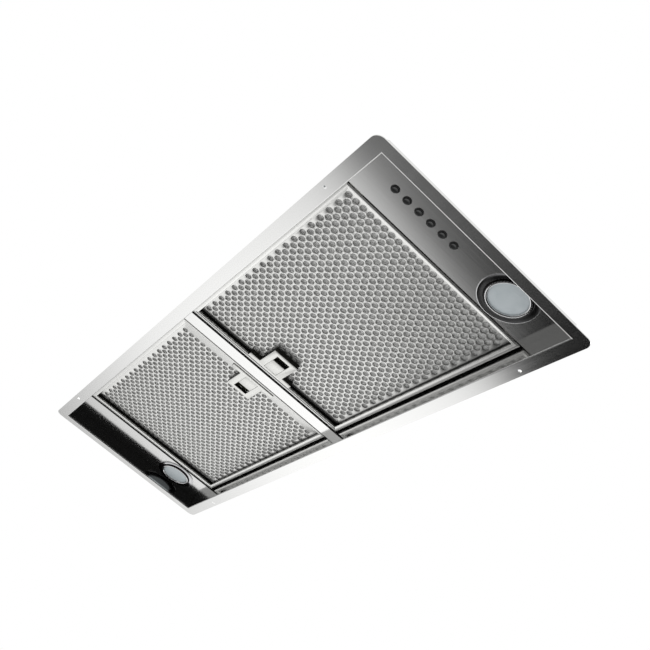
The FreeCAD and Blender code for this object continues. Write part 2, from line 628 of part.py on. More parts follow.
# ---------------------------------------------------------------- lamps
def make_lamp():
    """The near lamp's bezel and lens, and what stands behind both lamps."""
    centre = (ROW_X, "lamp_y")
    ring = new_body("lamp_bezel_near")
    turned(ring, centre, [
        ("lamp_ring_radius", "panel_face"),
        ("lamp_ring_radius", "panel_face - 0.8"),
        ("lamp_ring_radius - 1.5", "panel_face - 1.5"),
        ("lamp_eye_radius + 6", "panel_face - 0.9"),
        ("lamp_eye_radius + 4.5", "panel_face - 2.3"),
        ("lamp_eye_radius + 1.5", "panel_face - 2.9"),
        ("lamp_eye_radius", "panel_face - 2.1"),
        ("lamp_eye_radius", FACE_TOP),
        ("lamp_skirt_radius - 1.2", FACE_TOP),
        ("lamp_skirt_radius - 1.2", "panel_face + 5.5"),
        ("lamp_skirt_radius", "panel_face + 5.5"),
        ("lamp_skirt_radius", "panel_face"),
    ])
    keep(ring)
    lens = new_body("lamp_lens_near")
    turned(lens, centre, [
        ("0", "panel_face - 1.6"),
        ("lamp_eye_radius * 0.6", "panel_face - 1.4"),
        ("lamp_eye_radius - 0.2", "panel_face - 0.6"),
        ("lamp_eye_radius - 0.2", FACE_TOP),
        ("lamp_skirt_radius - 1.5", FACE_TOP),
        ("lamp_skirt_radius - 1.5", f"{FACE_TOP} + 1"),
        ("0", f"{FACE_TOP} + 1"),
    ])
    keep(lens)
    reflector = new_body("reflector_near")
    turned(reflector, centre, [
        ("lamp_skirt_radius - 1.6", f"{FACE_TOP} + 1"),
        ("lamp_skirt_radius - 1.6", f"{FACE_TOP} + 2.5"),
        ("13", f"{FACE_TOP} + 17.5"),
        ("13", f"{FACE_TOP} + 18.5"),
        ("8", f"{FACE_TOP} + 18.5"),
        ("8", f"{FACE_TOP} + 17.5"),
        ("12", f"{FACE_TOP} + 17.5"),
        ("lamp_skirt_radius - 2.8", f"{FACE_TOP} + 1"),
    ])
    module = new_body("module_near")
    turned(module, centre, [
        ("0", f"{FACE_TOP} + 7"),
        ("3", f"{FACE_TOP} + 8"),
        ("5", f"{FACE_TOP} + 11"),
        ("5", f"{FACE_TOP} + 18.5"),
        ("12", f"{FACE_TOP} + 18.5"),
        ("12", f"{FACE_TOP} + 21"),
        ("0", f"{FACE_TOP} + 21"),
    ])
    can = new_body("lamp_can_near")
    turned(can, centre, [
        ("lamp_skirt_radius - 2.4", f"{FACE_TOP} + 3.8"),
        ("lamp_skirt_radius - 1.4", f"{FACE_TOP} + 3.8"),
        ("lamp_skirt_radius - 1.4", f"{FACE_TOP} + 5.5"),
        ("14", "lamp_can_top"),
        ("0", "lamp_can_top"),
        ("0", "lamp_can_top - 1"),
        ("11", "lamp_can_top - 1"),
        ("11", f"{FACE_TOP} + 21"),
        ("12", f"{FACE_TOP} + 21"),
        ("12", "lamp_can_top - 1"),
        ("13.3", "lamp_can_top - 1"),
        ("lamp_skirt_radius - 2.4", f"{FACE_TOP} + 5.1"),
    ])
    keep(group("lamp_cans", [can, mirrored("can_far", can)]))
    clips = []
    for name, sign in (("front", -1), ("rear", 1)):
        root = f"(lamp_y + {sign} * lamp_skirt_radius)"
        tip = f"(lamp_y + {sign} * (lamp_skirt_radius + 8))"
        bend = f"(lamp_y + {sign} * (lamp_skirt_radius + 0.9))"
        stem_y = (root, bend) if sign > 0 else (bend, root)
        foot_y = (bend, tip) if sign > 0 else (tip, bend)
        x0, x1 = f"{ROW_X} - 5", f"{ROW_X} + 5"
        clips.append(fuse(f"lamp_clip_{name}", [
            block(f"clip_stem_{name}", x0, x1, *stem_y, FACE_TOP, f"{FACE_TOP} + 4.5"),
            block(f"clip_foot_{name}", x0, x1, *foot_y, FACE_TOP, f"{FACE_TOP} + 0.8"),
        ]))
    keep(group("lamp_reflectors", [reflector, mirrored("reflector_far", reflector)]))
    keep(group("lamp_modules", [module, mirrored("module_far", module)]))
    near_clips = group("clips_near", clips)
    keep(group("lamp_clips", [near_clips, mirrored("clips_far", near_clips)]))


# ---------------------------------------------------------------- controls
BUTTONS = 6
FLANGE_SEAT = f"({FACE_TOP} + 2)"


def button_rows():
    """The buttons' Y, from the front to the lamp."""
    return [f"(button_row_y + button_pitch * {number - (BUTTONS - 1) / 2})"
            for number in range(BUTTONS)]


def make_controls():
    """Carrier with black collars, six buttons, their switches and the board."""
    rows = button_rows()
    half = f"(button_pitch * {(BUTTONS - 1) / 2} + 11)"
    y0, y1 = f"button_row_y - {half}", f"button_row_y + {half}"
    x0, x1 = f"{ROW_X} - 12", f"{ROW_X} + 12"
    solids = [
        block("carrier_base", x0, x1, y0, y1, FACE_TOP, FLANGE_SEAT),
        block("carrier_post_front", x0, x1, y0, f"{y0} + 3", FLANGE_SEAT, "board_height"),
        block("carrier_post_rear", x0, x1, f"{y1} - 3", y1, FLANGE_SEAT, "board_height"),
    ]
    bores = []
    switches = []
    for number, y in enumerate(rows, start=1):
        solids.append(rod(f"collar_{number}", "z", (ROW_X, y, "panel_face - 0.7"),
                          "collar_radius", "sheet + 0.7"))
        bores.append(rod(f"collar_bore_{number}", "z", (ROW_X, y, "panel_face - 1"),
                         "button_radius + slip", "sheet + 4"))
        button = new_body(f"button_{number}")
        turned(button, (ROW_X, y), [
            ("0", "panel_face - 1.3"),
            ("button_radius - 0.6", "panel_face - 1.3"),
            ("button_radius", "panel_face - 0.9"),
            ("button_radius", f"{FLANGE_SEAT} + slip"),
            ("button_radius + 1.1", f"{FLANGE_SEAT} + slip"),
            ("button_radius + 1.1", f"{FLANGE_SEAT} + 1.8"),
            ("button_radius - 0.9", f"{FLANGE_SEAT} + 1.8"),
            ("button_radius - 0.9", "board_height - 6"),
            ("1.7", "board_height - 6"),
            ("1.7", "board_height - 3.6"),
            ("0", "board_height - 3.6"),
        ])
        keep(button)
        switches.append(cut(f"switch_{number}", block(
            f"switch_case_{number}", f"{ROW_X} - 3", f"{ROW_X} + 3",
            f"{y} - 3", f"{y} + 3", "board_height - 4", "board_height"),
            [rod(f"switch_bore_{number}", "z", (ROW_X, y, "board_height - 4.5"),
                 "2", "button_travel + 1.2")]))
    keep(cut("button_carrier", fuse("carrier_solid", solids), bores))
    keep(group("push_switches", switches))
    keep(block("switch_board", f"{x0} + 1", f"{x1} - 1", y0, y1,
               "board_height", "board_height + 1.6"))


def make_control_box():
    """The power box under the tray roof, its board and the leads that reach it."""
    x0, x1 = f"({EDGE} + 5)", f"({EDGE} + 26)"
    y0, y1 = "-110", "20"
    low = 46
    keep(cut("control_box", block("box_outer", x0, x1, y0, y1, low, ROOF_LOW), [
        block("box_inner", f"{x0} + 1.5", f"{x1} - 1.5", f"{y0} + 1.5", f"{y1} - 1.5",
              low + 1.5, f"{ROOF_LOW} + 1"),
    ]))
    keep(block("power_board", f"{x0} + 4", f"{x1} - 4", f"{y0} + 4", f"{y1} - 4",
               low + 1.5, low + 3.1))
    ribbon = fuse("ribbon", [
        block("ribbon_rise", f"{x1} + 3", f"{x1} + 4", -66, -54, "board_height + 1.6", low + 5),
        block("ribbon_end", x1, f"{x1} + 4", -66, -54, low + 4, low + 5)])
    row = value_of(ROW_X)
    near_x = value_of(f"({x0} + {x1}) / 2")
    far_end = value_of(x0)
    lead_y = value_of("lamp_y")
    can_top = value_of("lamp_can_top")
    under_roof = value_of(ROOF_LOW) - 10
    over_web = value_of(f"(panel_face + panel_web + {ROOF_LOW}) / 2")
    over_can = over_web - 2
    leads = []
    for name, route in (
            ("near_lead", ((near_x, float(y1), over_can), (near_x, lead_y, over_can),
                           (row, lead_y, over_can), (row, lead_y, can_top))),
            ("far_lead", ((-row, lead_y, can_top), (-row, lead_y, over_can),
                          (65 - row, lead_y, over_can), (105 - row, 118, under_roof),
                          (far_end - 110, 118, under_roof), (far_end - 50, 8, over_web),
                          (far_end, 8, over_web)))):
        lead = doc.addObject("Part::Feature", name)
        lead.Shape = bent_tube([Vector(*point) for point in route], 2.5)
        leads.append(lead)
    clips = [block(f"lead_clip_{side}", x - 4, x + 4, 118 - 2, 118 + 2,
                   under_roof + 2.6, ROOF_LOW)
             for side, x in (("left", 165 - row), ("right", far_end - 151))]
    keep(group("inner_leads", leads + [ribbon] + clips))


def bent_tube(route, radius):
    """A tube along straight runs joined by tangent arcs."""
    edges = []
    here = route[0]
    for before, corner, after in zip(route, route[1:], route[2:]):
        way_in = (corner - before).normalize()
        way_out = (after - corner).normalize()
        half_turn = way_in.getAngle(way_out) / 2
        shorter = min((corner - before).Length, (after - corner).Length)
        reach = 0.45 * shorter
        start = corner - way_in * reach
        end = corner + way_out * reach
        bisector = (way_out - way_in).normalize()
        bend = reach / math.tan(half_turn)
        middle = corner + bisector * (bend / math.cos(half_turn) - bend)
        edges.append(Part.LineSegment(here, start).toShape())
        edges.append(Part.Arc(start, middle, end).toShape())
        here = end
    edges.append(Part.LineSegment(here, route[-1]).toShape())
    path = Part.Wire(edges)
    ring = Part.Wire(Part.Circle(route[0], route[1] - route[0], radius).toShape())
    solid = path.makePipeShell([ring], True, False)
    expected = math.pi * radius ** 2 * path.Length
    print("lead length %.1f mm, volume %.4f of its section times length"
          % (path.Length, solid.Volume / expected))
    return solid


# ---------------------------------------------------------------- chamber, blower, duct
COVER_MARGIN = 14
COVER_HALF = f"({CHAMBER_X} - 60)"
COVER_LOW = f"({ROOF_TOP} + 19)"
COVER_HIGH = f"({CHAMBER_TOP} - {COVER_MARGIN})"


def make_chamber():
    """The motor chamber on the tray roof and its screwed service cover."""
    body = new_body("motor_chamber")
    shell = sketch_on(body, "XY_Plane", ROOF_TOP)
    rectangle(shell, f"-{CHAMBER_X}", "-chamber_front", CHAMBER_X, CHAMBER_Y)
    pad(body, shell, f"{CHAMBER_TOP} - {ROOF_TOP}")
    hollow = sketch_on(body, "XY_Plane", f"{ROOF_TOP} - 1")
    rectangle(hollow, f"-({CHAMBER_X} - sheet)", "-(chamber_front - sheet)",
              f"{CHAMBER_X} - sheet", f"{CHAMBER_Y} - sheet")
    pocket(body, hollow, f"{CHAMBER_TOP} - sheet - {ROOF_TOP} + 1")
    feet = sketch_on(body, "XY_Plane", ROOF_TOP)
    for sign in (1, -1):
        low, high = f"{CHAMBER_X} - sheet", f"{CHAMBER_X} + 14"
        ends = (f"{sign} * ({low})", f"{sign} * ({high})")
        x0, x1 = ends if sign > 0 else ends[::-1]
        rectangle(feet, x0, "-chamber_front", x1, CHAMBER_Y)
    for x, y in foot_screws():
        circle(feet, x, y, "screw_radius")
    pad(body, feet, "sheet")
    outlet = sketch_on(body, "XY_Plane", f"{CHAMBER_TOP} - 5")
    centred(outlet, f"{SCROLL_X} - 3", f"{SCROLL_END} / 2 + 1")
    for x, y in collar_screws():
        circle(outlet, x, y, "screw_radius")
    pocket(body, outlet, "10")
    opening = sketch_on(body, "XZ_Plane", "chamber_front - 5")
    rectangle(opening, f"-({COVER_HALF} - {COVER_MARGIN})", f"{COVER_LOW} + {COVER_MARGIN}",
              f"{COVER_HALF} - {COVER_MARGIN}", f"{COVER_HIGH} - {COVER_MARGIN}")
    for x, z in cover_screws():
        circle(opening, x, z, "screw_radius")
    pocket(body, opening, "10")
    keep(body)
    cover = new_body("service_cover")
    plate = sketch_on(cover, "XZ_Plane", "chamber_front")
    rectangle(plate, f"-{COVER_HALF}", COVER_LOW, COVER_HALF, COVER_HIGH)
    for x, z in cover_screws():
        circle(plate, x, z, "screw_radius")
    pad(cover, plate, "sheet")
    keep(cover)


def foot_screws():
    return [(f"{side} * ({CHAMBER_X} + 7)", y) for side in (1, -1)
            for y in (f"({CHAMBER_Y} - 25)", "(25 - chamber_front)")]


def collar_screws():
    reach = "(duct_radius + collar_screw_reach) * 0.70710678"
    return [(f"{a} * {reach}", f"{b} * {reach}") for a in (1, -1) for b in (1, -1)]


def cover_screws():
    inset = COVER_MARGIN / 2
    return [(f"{side} * ({COVER_HALF} - {inset})", z) for side in (-1, 1)
            for z in (f"({COVER_LOW} + {inset})", f"({COVER_HIGH} - {inset})")]


def scroll_solid(label, x0, length, inset):
    """The snail of the scroll: quarter rounds of growing radius and a straight throat."""
    half = "scroll_growth / 2"
    quarters = []
    for step, (turn, dy, dz) in enumerate(((0, "+", "-"), (-90, "-", "-"), (180, "-", "+"))):
        piece = doc.addObject("Part::Cylinder", f"{label}_quarter_{step}")
        turned_by = Rotation(Vector(1, 0, 0), turn).multiply(TURNS["x"])
        piece.Placement = Placement(Vector(), turned_by)
        piece.Angle = 90
        bind(piece, "Radius", f"{SCROLL_START} + scroll_growth * {step} - {inset}")
        bind(piece, "Height", length)
        bind(piece, "Placement.Base.x", x0)
        bind(piece, "Placement.Base.y", f"{AXIS_Y} {dy} {half}")
        bind(piece, "Placement.Base.z", f"{AXIS_Z} {dz} {half}")
        quarters.append(piece)
    x1 = f"{x0} + {length}"
    core = block(f"{label}_core", x0, x1, f"{AXIS_Y} - {half}", f"{AXIS_Y} + {half}",
                 f"{AXIS_Z} - {half}", f"{AXIS_Z} - {half} + {SCROLL_START} - {inset}")
    left = f"{AXIS_Y} - {half} - {SCROLL_END} + {inset}"
    throat = block(f"{label}_throat", x0, x1, left, f"{AXIS_Y} + {half} - {inset}",
                   f"{AXIS_Z} - {half}", f"{CHAMBER_TOP} - sheet")
    return fuse(label, quarters + [core, throat])


def make_scroll():
    """Scroll wall and its two side plates with the air inlets."""
    x0 = f"-{SCROLL_X} + sheet"
    length = "scroll_width - 2 * sheet"
    keep(cut("scroll_wall", scroll_solid("scroll_outside", x0, length, "0"),
             [scroll_solid("scroll_inside", x0, length, "sheet")]))
    for name, low in (("left", f"-{SCROLL_X}"), ("right", f"{SCROLL_X} - sheet")):
        keep(cut(f"scroll_side_{name}", scroll_solid(f"side_{name}", low, "sheet", "0"), [
            rod(f"inlet_{name}", "x", (low, AXIS_Y, AXIS_Z), INLET, "sheet")]))


def make_wheel():
    """Blower wheel: disc with its hub, slanted blades between two rings, and the shaft."""
    root = "(wheel_radius - blade_depth)"
    disc = new_body("wheel_disc")
    for x, radius, thickness in (("-1", root, "2"), ("-14", "12", "13.5")):
        layer = sketch_on(disc, "YZ_Plane", x)
        circle(layer, AXIS_Y, AXIS_Z, radius)
        circle(layer, AXIS_Y, AXIS_Z, "shaft_radius + 0.02")
        pad(disc, layer, thickness)
    solids = [disc]
    rings = [tube(f"wheel_ring_{side}", "x", (x, AXIS_Y, AXIS_Z), "wheel_radius", root, 2)
             for side, x in (("left", "-wheel_width / 2"), ("right", "wheel_width / 2 - 2"))]
    count = round(value_of("blade_count"))
    lean = math.radians(26.565)
    thick = 1.25
    for number in range(count):
        turn = 2 * math.pi * number / count
        blade = doc.addObject("Part::Box", f"blade_{number}")
        blade.Placement = Placement(
            Vector(), Rotation(Vector(1, 0, 0), math.degrees(turn - lean)))
        blade.Width = thick
        bind(blade, "Length", "wheel_width - 4")
        bind(blade, "Height", f"(blade_depth - 1.2) / {math.cos(lean):.6f}")
        bind(blade, "Placement.Base.x", "2 - wheel_width / 2")
        aside, beyond = thick * math.cos(lean), thick * math.sin(lean)
        cosine, sine = math.cos(turn), math.sin(turn)
        bind(blade, "Placement.Base.y", f"{AXIS_Y} + {-aside * cosine - beyond * sine:.8f}"
             f" - {sine:.10f} * {root}")
        bind(blade, "Placement.Base.z", f"{AXIS_Z} + {-aside * sine + beyond * cosine:.8f}"
             f" + {cosine:.10f} * {root}")
        solids.append(blade)
    keep(group("impeller", solids))
    keep(group("wheel_rings", rings))
    keep(rod("motor_shaft", "x", (-16, AXIS_Y, AXIS_Z), "shaft_radius",
             f"{MOTOR_X} + 28"))


def make_motor():
    """Motor in the wheel's right half, held by an armed bracket on the scroll."""
    start = f"({MOTOR_X} - motor_length)"
    at = (AXIS_Y, AXIS_Z)
    solids = [
        rod("motor_can", "x", (start, *at), MOTOR_RADIUS, "motor_length"),
        rod("motor_flange", "x", (MOTOR_X, *at), f"{MOTOR_RADIUS} + 8", 2),
        rod("motor_cap", "x", (f"{MOTOR_X} + 2", *at), f"{MOTOR_RADIUS} - 8", 10),
    ]
    hollows = [
        rod("motor_bore", "x", (start, *at), "shaft_radius + 1", "motor_length + 12"),
        rod("front_seat", "x", (start, *at), "11", 8),
        rod("rear_seat", "x", (f"{MOTOR_X} + 4", *at), "11", 8),
    ]
    screw_ring = f"({MOTOR_RADIUS} + 4.5)"
    angles = ((0, 1), (0.8660254, -0.5), (-0.8660254, -0.5))
    spots = [(f"{AXIS_Y} + {a} * {screw_ring}", f"{AXIS_Z} + {b} * {screw_ring}")
             for a, b in angles]
    holes = [rod(f"motor_hole_{n}", "x", (MOTOR_X, *spot), "screw_radius", 2)
             for n, spot in enumerate(spots)]
    keep(cut("motor", fuse("motor_solid", solids), hollows + holes))
    bearings = [tube(f"bearing_{name}", "x", (x, *at), "10.95",
                     "shaft_radius + bearing_clearance", 7)
                for name, x in (("front", f"{start} + 0.5"), ("rear", f"{MOTOR_X} + 4.5"))]
    keep(group("motor_bearings", bearings))
    bracket = new_body("motor_bracket")
    spider = sketch_on(bracket, "YZ_Plane", SCROLL_X)
    circle(spider, *at, f"{INLET} + 12")
    circle(spider, *at, f"{MOTOR_RADIUS} + 0.3")
    for spot in spots:
        circle(spider, *spot, "screw_radius")
    pad(bracket, spider, "3 * sheet")
    gaps = sketch_on(bracket, "YZ_Plane", f"{SCROLL_X} - 1")
    circle(gaps, *at, INLET)
    circle(gaps, *at, f"{MOTOR_RADIUS} + 8.5")
    pocket(bracket, gaps, "3 * sheet + 2")
    arms = sketch_on(bracket, "YZ_Plane", SCROLL_X)
    inner, outer = f"({MOTOR_RADIUS} + 7)", f"({INLET} + 2)"
    for a, b in angles:
        corners = []
        for reach, side in ((inner, -5), (outer, -5), (outer, 5), (inner, 5)):
            corners.append((f"{AXIS_Y} + {a} * {reach} + {b * side}",
                            f"{AXIS_Z} + {b} * {reach} - {a * side}"))
        outline(arms, corners)
    pad(bracket, arms, "3 * sheet")
    keep(bracket)
    return spots


def make_duct():
    """Duct collar on its screwed ring, the damper pin and two flaps."""
    ring = new_body("collar_ring")
    flange = sketch_on(ring, "XY_Plane", CHAMBER_TOP)
    circle(flange, 0, 0, "duct_radius + collar_ring_width")
    circle(flange, 0, 0, "duct_radius - duct_sheet")
    for x, y in collar_screws():
        circle(flange, x, y, "screw_radius")
    pad(ring, flange, "sheet")
    keep(ring)
    collar = new_body("duct_collar")
    wall = sketch_on(collar, "XY_Plane", f"{CHAMBER_TOP} + sheet")
    circle(wall, 0, 0, "duct_radius")
    circle(wall, 0, 0, "duct_radius - duct_sheet")
    pad(collar, wall, "duct_height - sheet")
    stops = sketch_on(collar, "XY_Plane", f"{PIN_Z} - 3.8")
    for sign in (1, -1):
        near_wall = "(duct_radius - duct_sheet / 2)"
        inner, outer = f"{sign} * ({near_wall} - 4)", f"{sign} * {near_wall}"
        y0, y1 = (inner, outer) if sign > 0 else (outer, inner)
        rectangle(stops, -3, y0, 3, y1)
    pad(collar, stops, "3")
    ends = sketch_on(collar, "YZ_Plane")
    circle(ends, 0, PIN_Z, "flap_pin_radius + 0.02")
    pocket(collar, ends, "2 * duct_radius + 4", both_ways=True)
    keep(collar)
    keep(rod("flap_pin", "x", ("0.02 - duct_radius", 0, PIN_Z), "flap_pin_radius",
             "2 * duct_radius - 0.04"))
    sleeves = {"front": ((-22, -1), (40, 58)), "rear": ((-58, -40), (1, 22))}
    for name, sign in (("front", -1), ("rear", 1)):
        disc = rod(f"disc_{name}", "z", (0, 0, f"{PIN_Z} - 0.5"),
                   "duct_radius - duct_sheet - 1.2", 1)
        low, high = (-100, -3.6) if sign < 0 else (3.6, 100)
        half = doc.addObject("Part::Common", f"half_{name}")
        half.Base = disc
        half.Tool = block(f"half_box_{name}", -100, 100, low, high,
                          f"{PIN_Z} - 1", f"{PIN_Z} + 1")
        solids = [half]
        for x0, x1 in sleeves[name]:
            y0, y1 = (-4, 0) if sign < 0 else (0, 4)
            solids.append(rod(f"knuckle_{name}_{x0 + 60}", "x", (x0, 0, PIN_Z), 3, x1 - x0))
            solids.append(block(f"ear_{name}_{x0 + 60}", x0, x1, y0, y1,
                                f"{PIN_Z} - 0.5", f"{PIN_Z} + 0.5"))
        keep(cut(f"flap_{name}", fuse(f"flap_solid_{name}", solids), [
            rod(f"flap_bore_{name}", "x", (-100, 0, PIN_Z),
                "flap_pin_radius + bearing_clearance", 200)]))


def make_electrics():
    """Run capacitor in the chamber, terminal box on the tray roof and its cable gland."""
    can_x, can_y = -150, "(30 - chamber_front)"
    strap_z = f"({ROOF_TOP} + 59)"
    strap = tube("capacitor_strap", "z", (can_x, can_y, strap_z), "17.5", "16", 12)
    foot = block("capacitor_foot", can_x - 8, can_x + 8, "sheet - chamber_front",
                 f"{can_y} - 16.6", strap_z, f"{strap_z} + 12")
    clip = fuse("capacitor_clip", [strap, foot])
    keep(group("capacitor", [rod("capacitor_can", "z", (can_x, can_y, f"{strap_z} - 25"),
                                 "15.95", 60), clip]))
    x1 = f"({TERMINAL_X} + terminal_length)"
    y1 = "(terminal_y + terminal_width)"
    high = f"({ROOF_TOP} + terminal_height)"
    middle_y, middle_z = "(terminal_y + terminal_width / 2)", f"({ROOF_TOP} + 16)"
    keep(cut("terminal_box", block("terminal_outer", TERMINAL_X, x1, "terminal_y", y1,
                                   ROOF_TOP, high), [
        block("terminal_inner", f"{TERMINAL_X} + 2", f"{x1} - 2", "terminal_y + 2",
              f"{y1} - 2", f"{ROOF_TOP} + 2", f"{high} + 1"),
        rod("terminal_drop", "z", (f"{TERMINAL_X} + terminal_length / 2", middle_y, ROOF_TOP),
            8, 2),
        rod("terminal_hole", "x", (f"{x1} - 2", middle_y, middle_z), 8, 2)]))
    keep(block("terminal_lid", f"{TERMINAL_X} - 1", f"{x1} + 1", "terminal_y - 1",
               f"{y1} + 1", high, f"{high} + 3"))
    gland = [rod("gland_thread", "x", (f"{x1} - 6", middle_y, middle_z), 7.9, 6),
             rod("gland_collar", "x", (x1, middle_y, middle_z), 11, 5),
             rod("gland_nut", "x", (f"{x1} + 5", middle_y, middle_z), 9.5, 13)]
    keep(cut("cable_gland", fuse("gland_solid", gland), [
        rod("gland_bore", "x", (f"{x1} - 6", middle_y, middle_z),
            "gland_bore_radius", 24)]))


# ---------------------------------------------------------------- fasteners
def screw(name, axis, seat, length, outward=1):
    """A pan-head screw; seat is the point under its head and the head lies outward."""
    index = "xyz".index(axis)

    def along(distance):
        point = list(seat)
        point[index] = f"{seat[index]} + ({distance})"
        return tuple(point)

    head_from = "0" if outward > 0 else "-screw_head_height"
    shank_from = f"-({length})" if outward > 0 else "0"
    return fuse(name, [
        rod(name + "_head", axis, along(head_from), "screw_head_radius", "screw_head_height"),
        rod(name + "_shank", axis, along(shank_from), "screw_radius - 0.1", length)])


def make_screws(motor_spots):
    """Every screw and rivet of the housing, seated under its head."""
    lip_y = f"({SIDE} + pan_sheet + sheet)"
    screws = []
    for x, y in foot_screws():
        screws.append(screw(f"foot_screw_{len(screws)}", "z", (x, y, f"{ROOF_TOP} + sheet"), 7))
    for x, y in collar_screws():
        screws.append(screw(f"collar_screw_{len(screws)}", "z",
                            (x, y, f"{CHAMBER_TOP} + sheet"), 7))
    for x, z in cover_screws():
        screws.append(screw(f"cover_screw_{len(screws)}", "y",
                            (x, "-(chamber_front + sheet)", z), 7, -1))
    for spot in motor_spots:
        screws.append(screw(f"motor_screw_{len(screws)}", "x",
                            (f"{MOTOR_X} + 2", *spot), 4.5))
    for side in (1, -1):
        for x in RIVET_XS:
            screws.append(screw(f"rivet_{len(screws)}", "y",
                                (x, f"{side} * {lip_y}", RIVET_Z), 3, side))
    keep(group("screws", screws))


# ---------------------------------------------------------------- the whole hood
make_pan_frame()
make_tray_roof()
make_end_panel("control_panel", 1, True)
make_end_panel("lamp_panel", -1, False)
make_crossbar()
make_filter()
make_latch()
make_lamp()
make_controls()
make_control_box()
make_chamber()
make_scroll()
make_wheel()
SPOTS = make_motor()
make_duct()
make_electrics()
make_screws(SPOTS)
for label in ("filter_frame", "filter_face", "filter_mesh", "hinge_tongues",
              "latch_housing", "latch_slider", "latch_springs",
              "lamp_bezel", "lamp_lens"):
    keep(mirrored(label + "_far", nodes[label + "_near"]))
doc.removeObject(gauge.Name)
doc.recompute()

for thing in doc.Objects:
    if {"Invalid", "Error"} & set(thing.State):
        raise ValueError(f"{thing.Name} failed: {thing.State}")
for label, piece in nodes.items():
    if piece.Shape.isNull() or not piece.Shape.isValid() or not piece.Shape.Solids:
        raise ValueError(label + " has no valid shape")

os.makedirs("parts", exist_ok=True)
for label, piece in nodes.items():
    piece.Shape.exportStep(os.path.join("parts", label + ".step"))
print(len(nodes), "nodes written")
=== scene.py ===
import json
import math

import bmesh
import bpy
from mathutils import Matrix, Vector


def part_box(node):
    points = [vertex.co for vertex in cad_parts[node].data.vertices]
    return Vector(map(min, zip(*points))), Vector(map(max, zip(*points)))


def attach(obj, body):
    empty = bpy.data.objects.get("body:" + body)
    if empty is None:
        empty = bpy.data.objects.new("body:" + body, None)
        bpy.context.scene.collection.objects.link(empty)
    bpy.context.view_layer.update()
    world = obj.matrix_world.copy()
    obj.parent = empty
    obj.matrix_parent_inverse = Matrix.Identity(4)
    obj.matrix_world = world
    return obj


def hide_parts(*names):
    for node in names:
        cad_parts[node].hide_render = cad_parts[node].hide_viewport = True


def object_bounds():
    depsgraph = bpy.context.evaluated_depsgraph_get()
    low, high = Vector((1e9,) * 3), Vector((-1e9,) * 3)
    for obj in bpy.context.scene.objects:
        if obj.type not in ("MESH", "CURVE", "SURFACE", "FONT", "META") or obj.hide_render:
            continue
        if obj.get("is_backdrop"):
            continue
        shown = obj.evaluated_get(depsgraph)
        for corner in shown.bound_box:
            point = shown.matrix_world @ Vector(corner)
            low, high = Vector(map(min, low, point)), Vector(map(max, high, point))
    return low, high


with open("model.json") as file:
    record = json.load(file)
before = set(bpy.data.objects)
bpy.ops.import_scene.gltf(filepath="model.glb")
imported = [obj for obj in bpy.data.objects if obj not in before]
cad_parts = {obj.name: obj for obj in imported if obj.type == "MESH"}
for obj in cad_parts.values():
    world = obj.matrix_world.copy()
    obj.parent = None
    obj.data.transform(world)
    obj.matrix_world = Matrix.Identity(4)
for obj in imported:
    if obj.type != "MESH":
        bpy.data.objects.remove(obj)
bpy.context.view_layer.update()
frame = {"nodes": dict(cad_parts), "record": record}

scene = bpy.context.scene
nodes = frame["nodes"]

# ---------------------------------------------------------------- camera
# The hood is seen from below, from just outside its front corner at the control
# end, through a slightly long lens, as someone at the hob would look up at it.
camera = bpy.data.objects.new("camera", bpy.data.cameras.new("camera"))
camera.data.lens = 45.554
camera.data.sensor_width = 36
camera.data.clip_start = 0.01
to_right = Vector((0.5645816, 0.7266650, 0.3914149))
to_top = Vector((0.3603623, -0.6436567, 0.6751629))
to_back = Vector((0.7425541, -0.2401334, -0.6252594))
camera.matrix_world = Matrix.Translation((0.902559, -0.249293, -0.595515)) @ Matrix(
    (to_right, to_top, to_back)).transposed().to_4x4()
scene.collection.objects.link(camera)
scene.camera = camera
scene.view_settings.view_transform = "Standard"


# ---------------------------------------------------------------- studio
# A white room with a pale floor well below the hood. What the polished steel sees of the
# floor is a painted reflection, a glow that fades far off and towards the front and is dark
# near the camera; a black card behind the camera, seen only in reflections, paints dark ones.
class Signal:
    """One output of a node, which takes part in Python sums."""

    def __init__(self, bench, socket):
        self.bench = bench
        self.socket = socket

    def maths(self, operation, first, second):
        return self.bench.node("ShaderNodeMath", {0: first, 1: second}, operation=operation)

    def __add__(self, other):
        return self.maths("ADD", self, other)

    def __sub__(self, other):
        return self.maths("SUBTRACT", self, other)

    def __rsub__(self, other):
        return self.maths("SUBTRACT", other, self)

    def __mul__(self, other):
        return self.maths("MULTIPLY", self, other)

    def __truediv__(self, other):
        return self.maths("DIVIDE", self, other)

    def __gt__(self, other):
        return self.maths("GREATER_THAN", self, other)

    __radd__ = __add__
    __rmul__ = __mul__

    def also(self, name):
        """Another output of the same node."""
        return Signal(self.bench, self.socket.node.outputs[name])


class Bench:
    """A node tree, and the one way in which nodes are added to it."""

    def __init__(self, tree, material=None):
        self.tree = tree
        self.material = material
        tree.nodes.clear()

    def node(self, kind, inputs=None, output=0, stops=None, **settings):
        made = self.tree.nodes.new(kind)
        for name, value in settings.items():
            setattr(made, name, value)
        if stops:
            ramp = made.color_ramp
            while len(ramp.elements) < len(stops):
                ramp.elements.new(1)
            for stop, (position, grey) in zip(ramp.elements, stops):
                stop.position = position
                stop.color = (grey, grey, grey, 1)
        for key, value in (inputs or {}).items():
            socket = made.inputs[key]
            for single in value if isinstance(value, list) else [value]:
                if isinstance(single, Signal):
                    self.tree.links.new(single.socket, socket)
                else:
                    socket.default_value = single
        return Signal(self, made.outputs[output] if made.outputs else None)


def finish(name):
    """The bench of a new material."""
    material = bpy.data.materials.new(name)
    material.use_nodes = True
    return Bench(material.node_tree, material)


def blend_shaders(bench, factor, first, second):
    return bench.node("ShaderNodeMixShader", {0: factor, 1: first, 2: second})


def grey(level):
    return (level, level, level, 1)


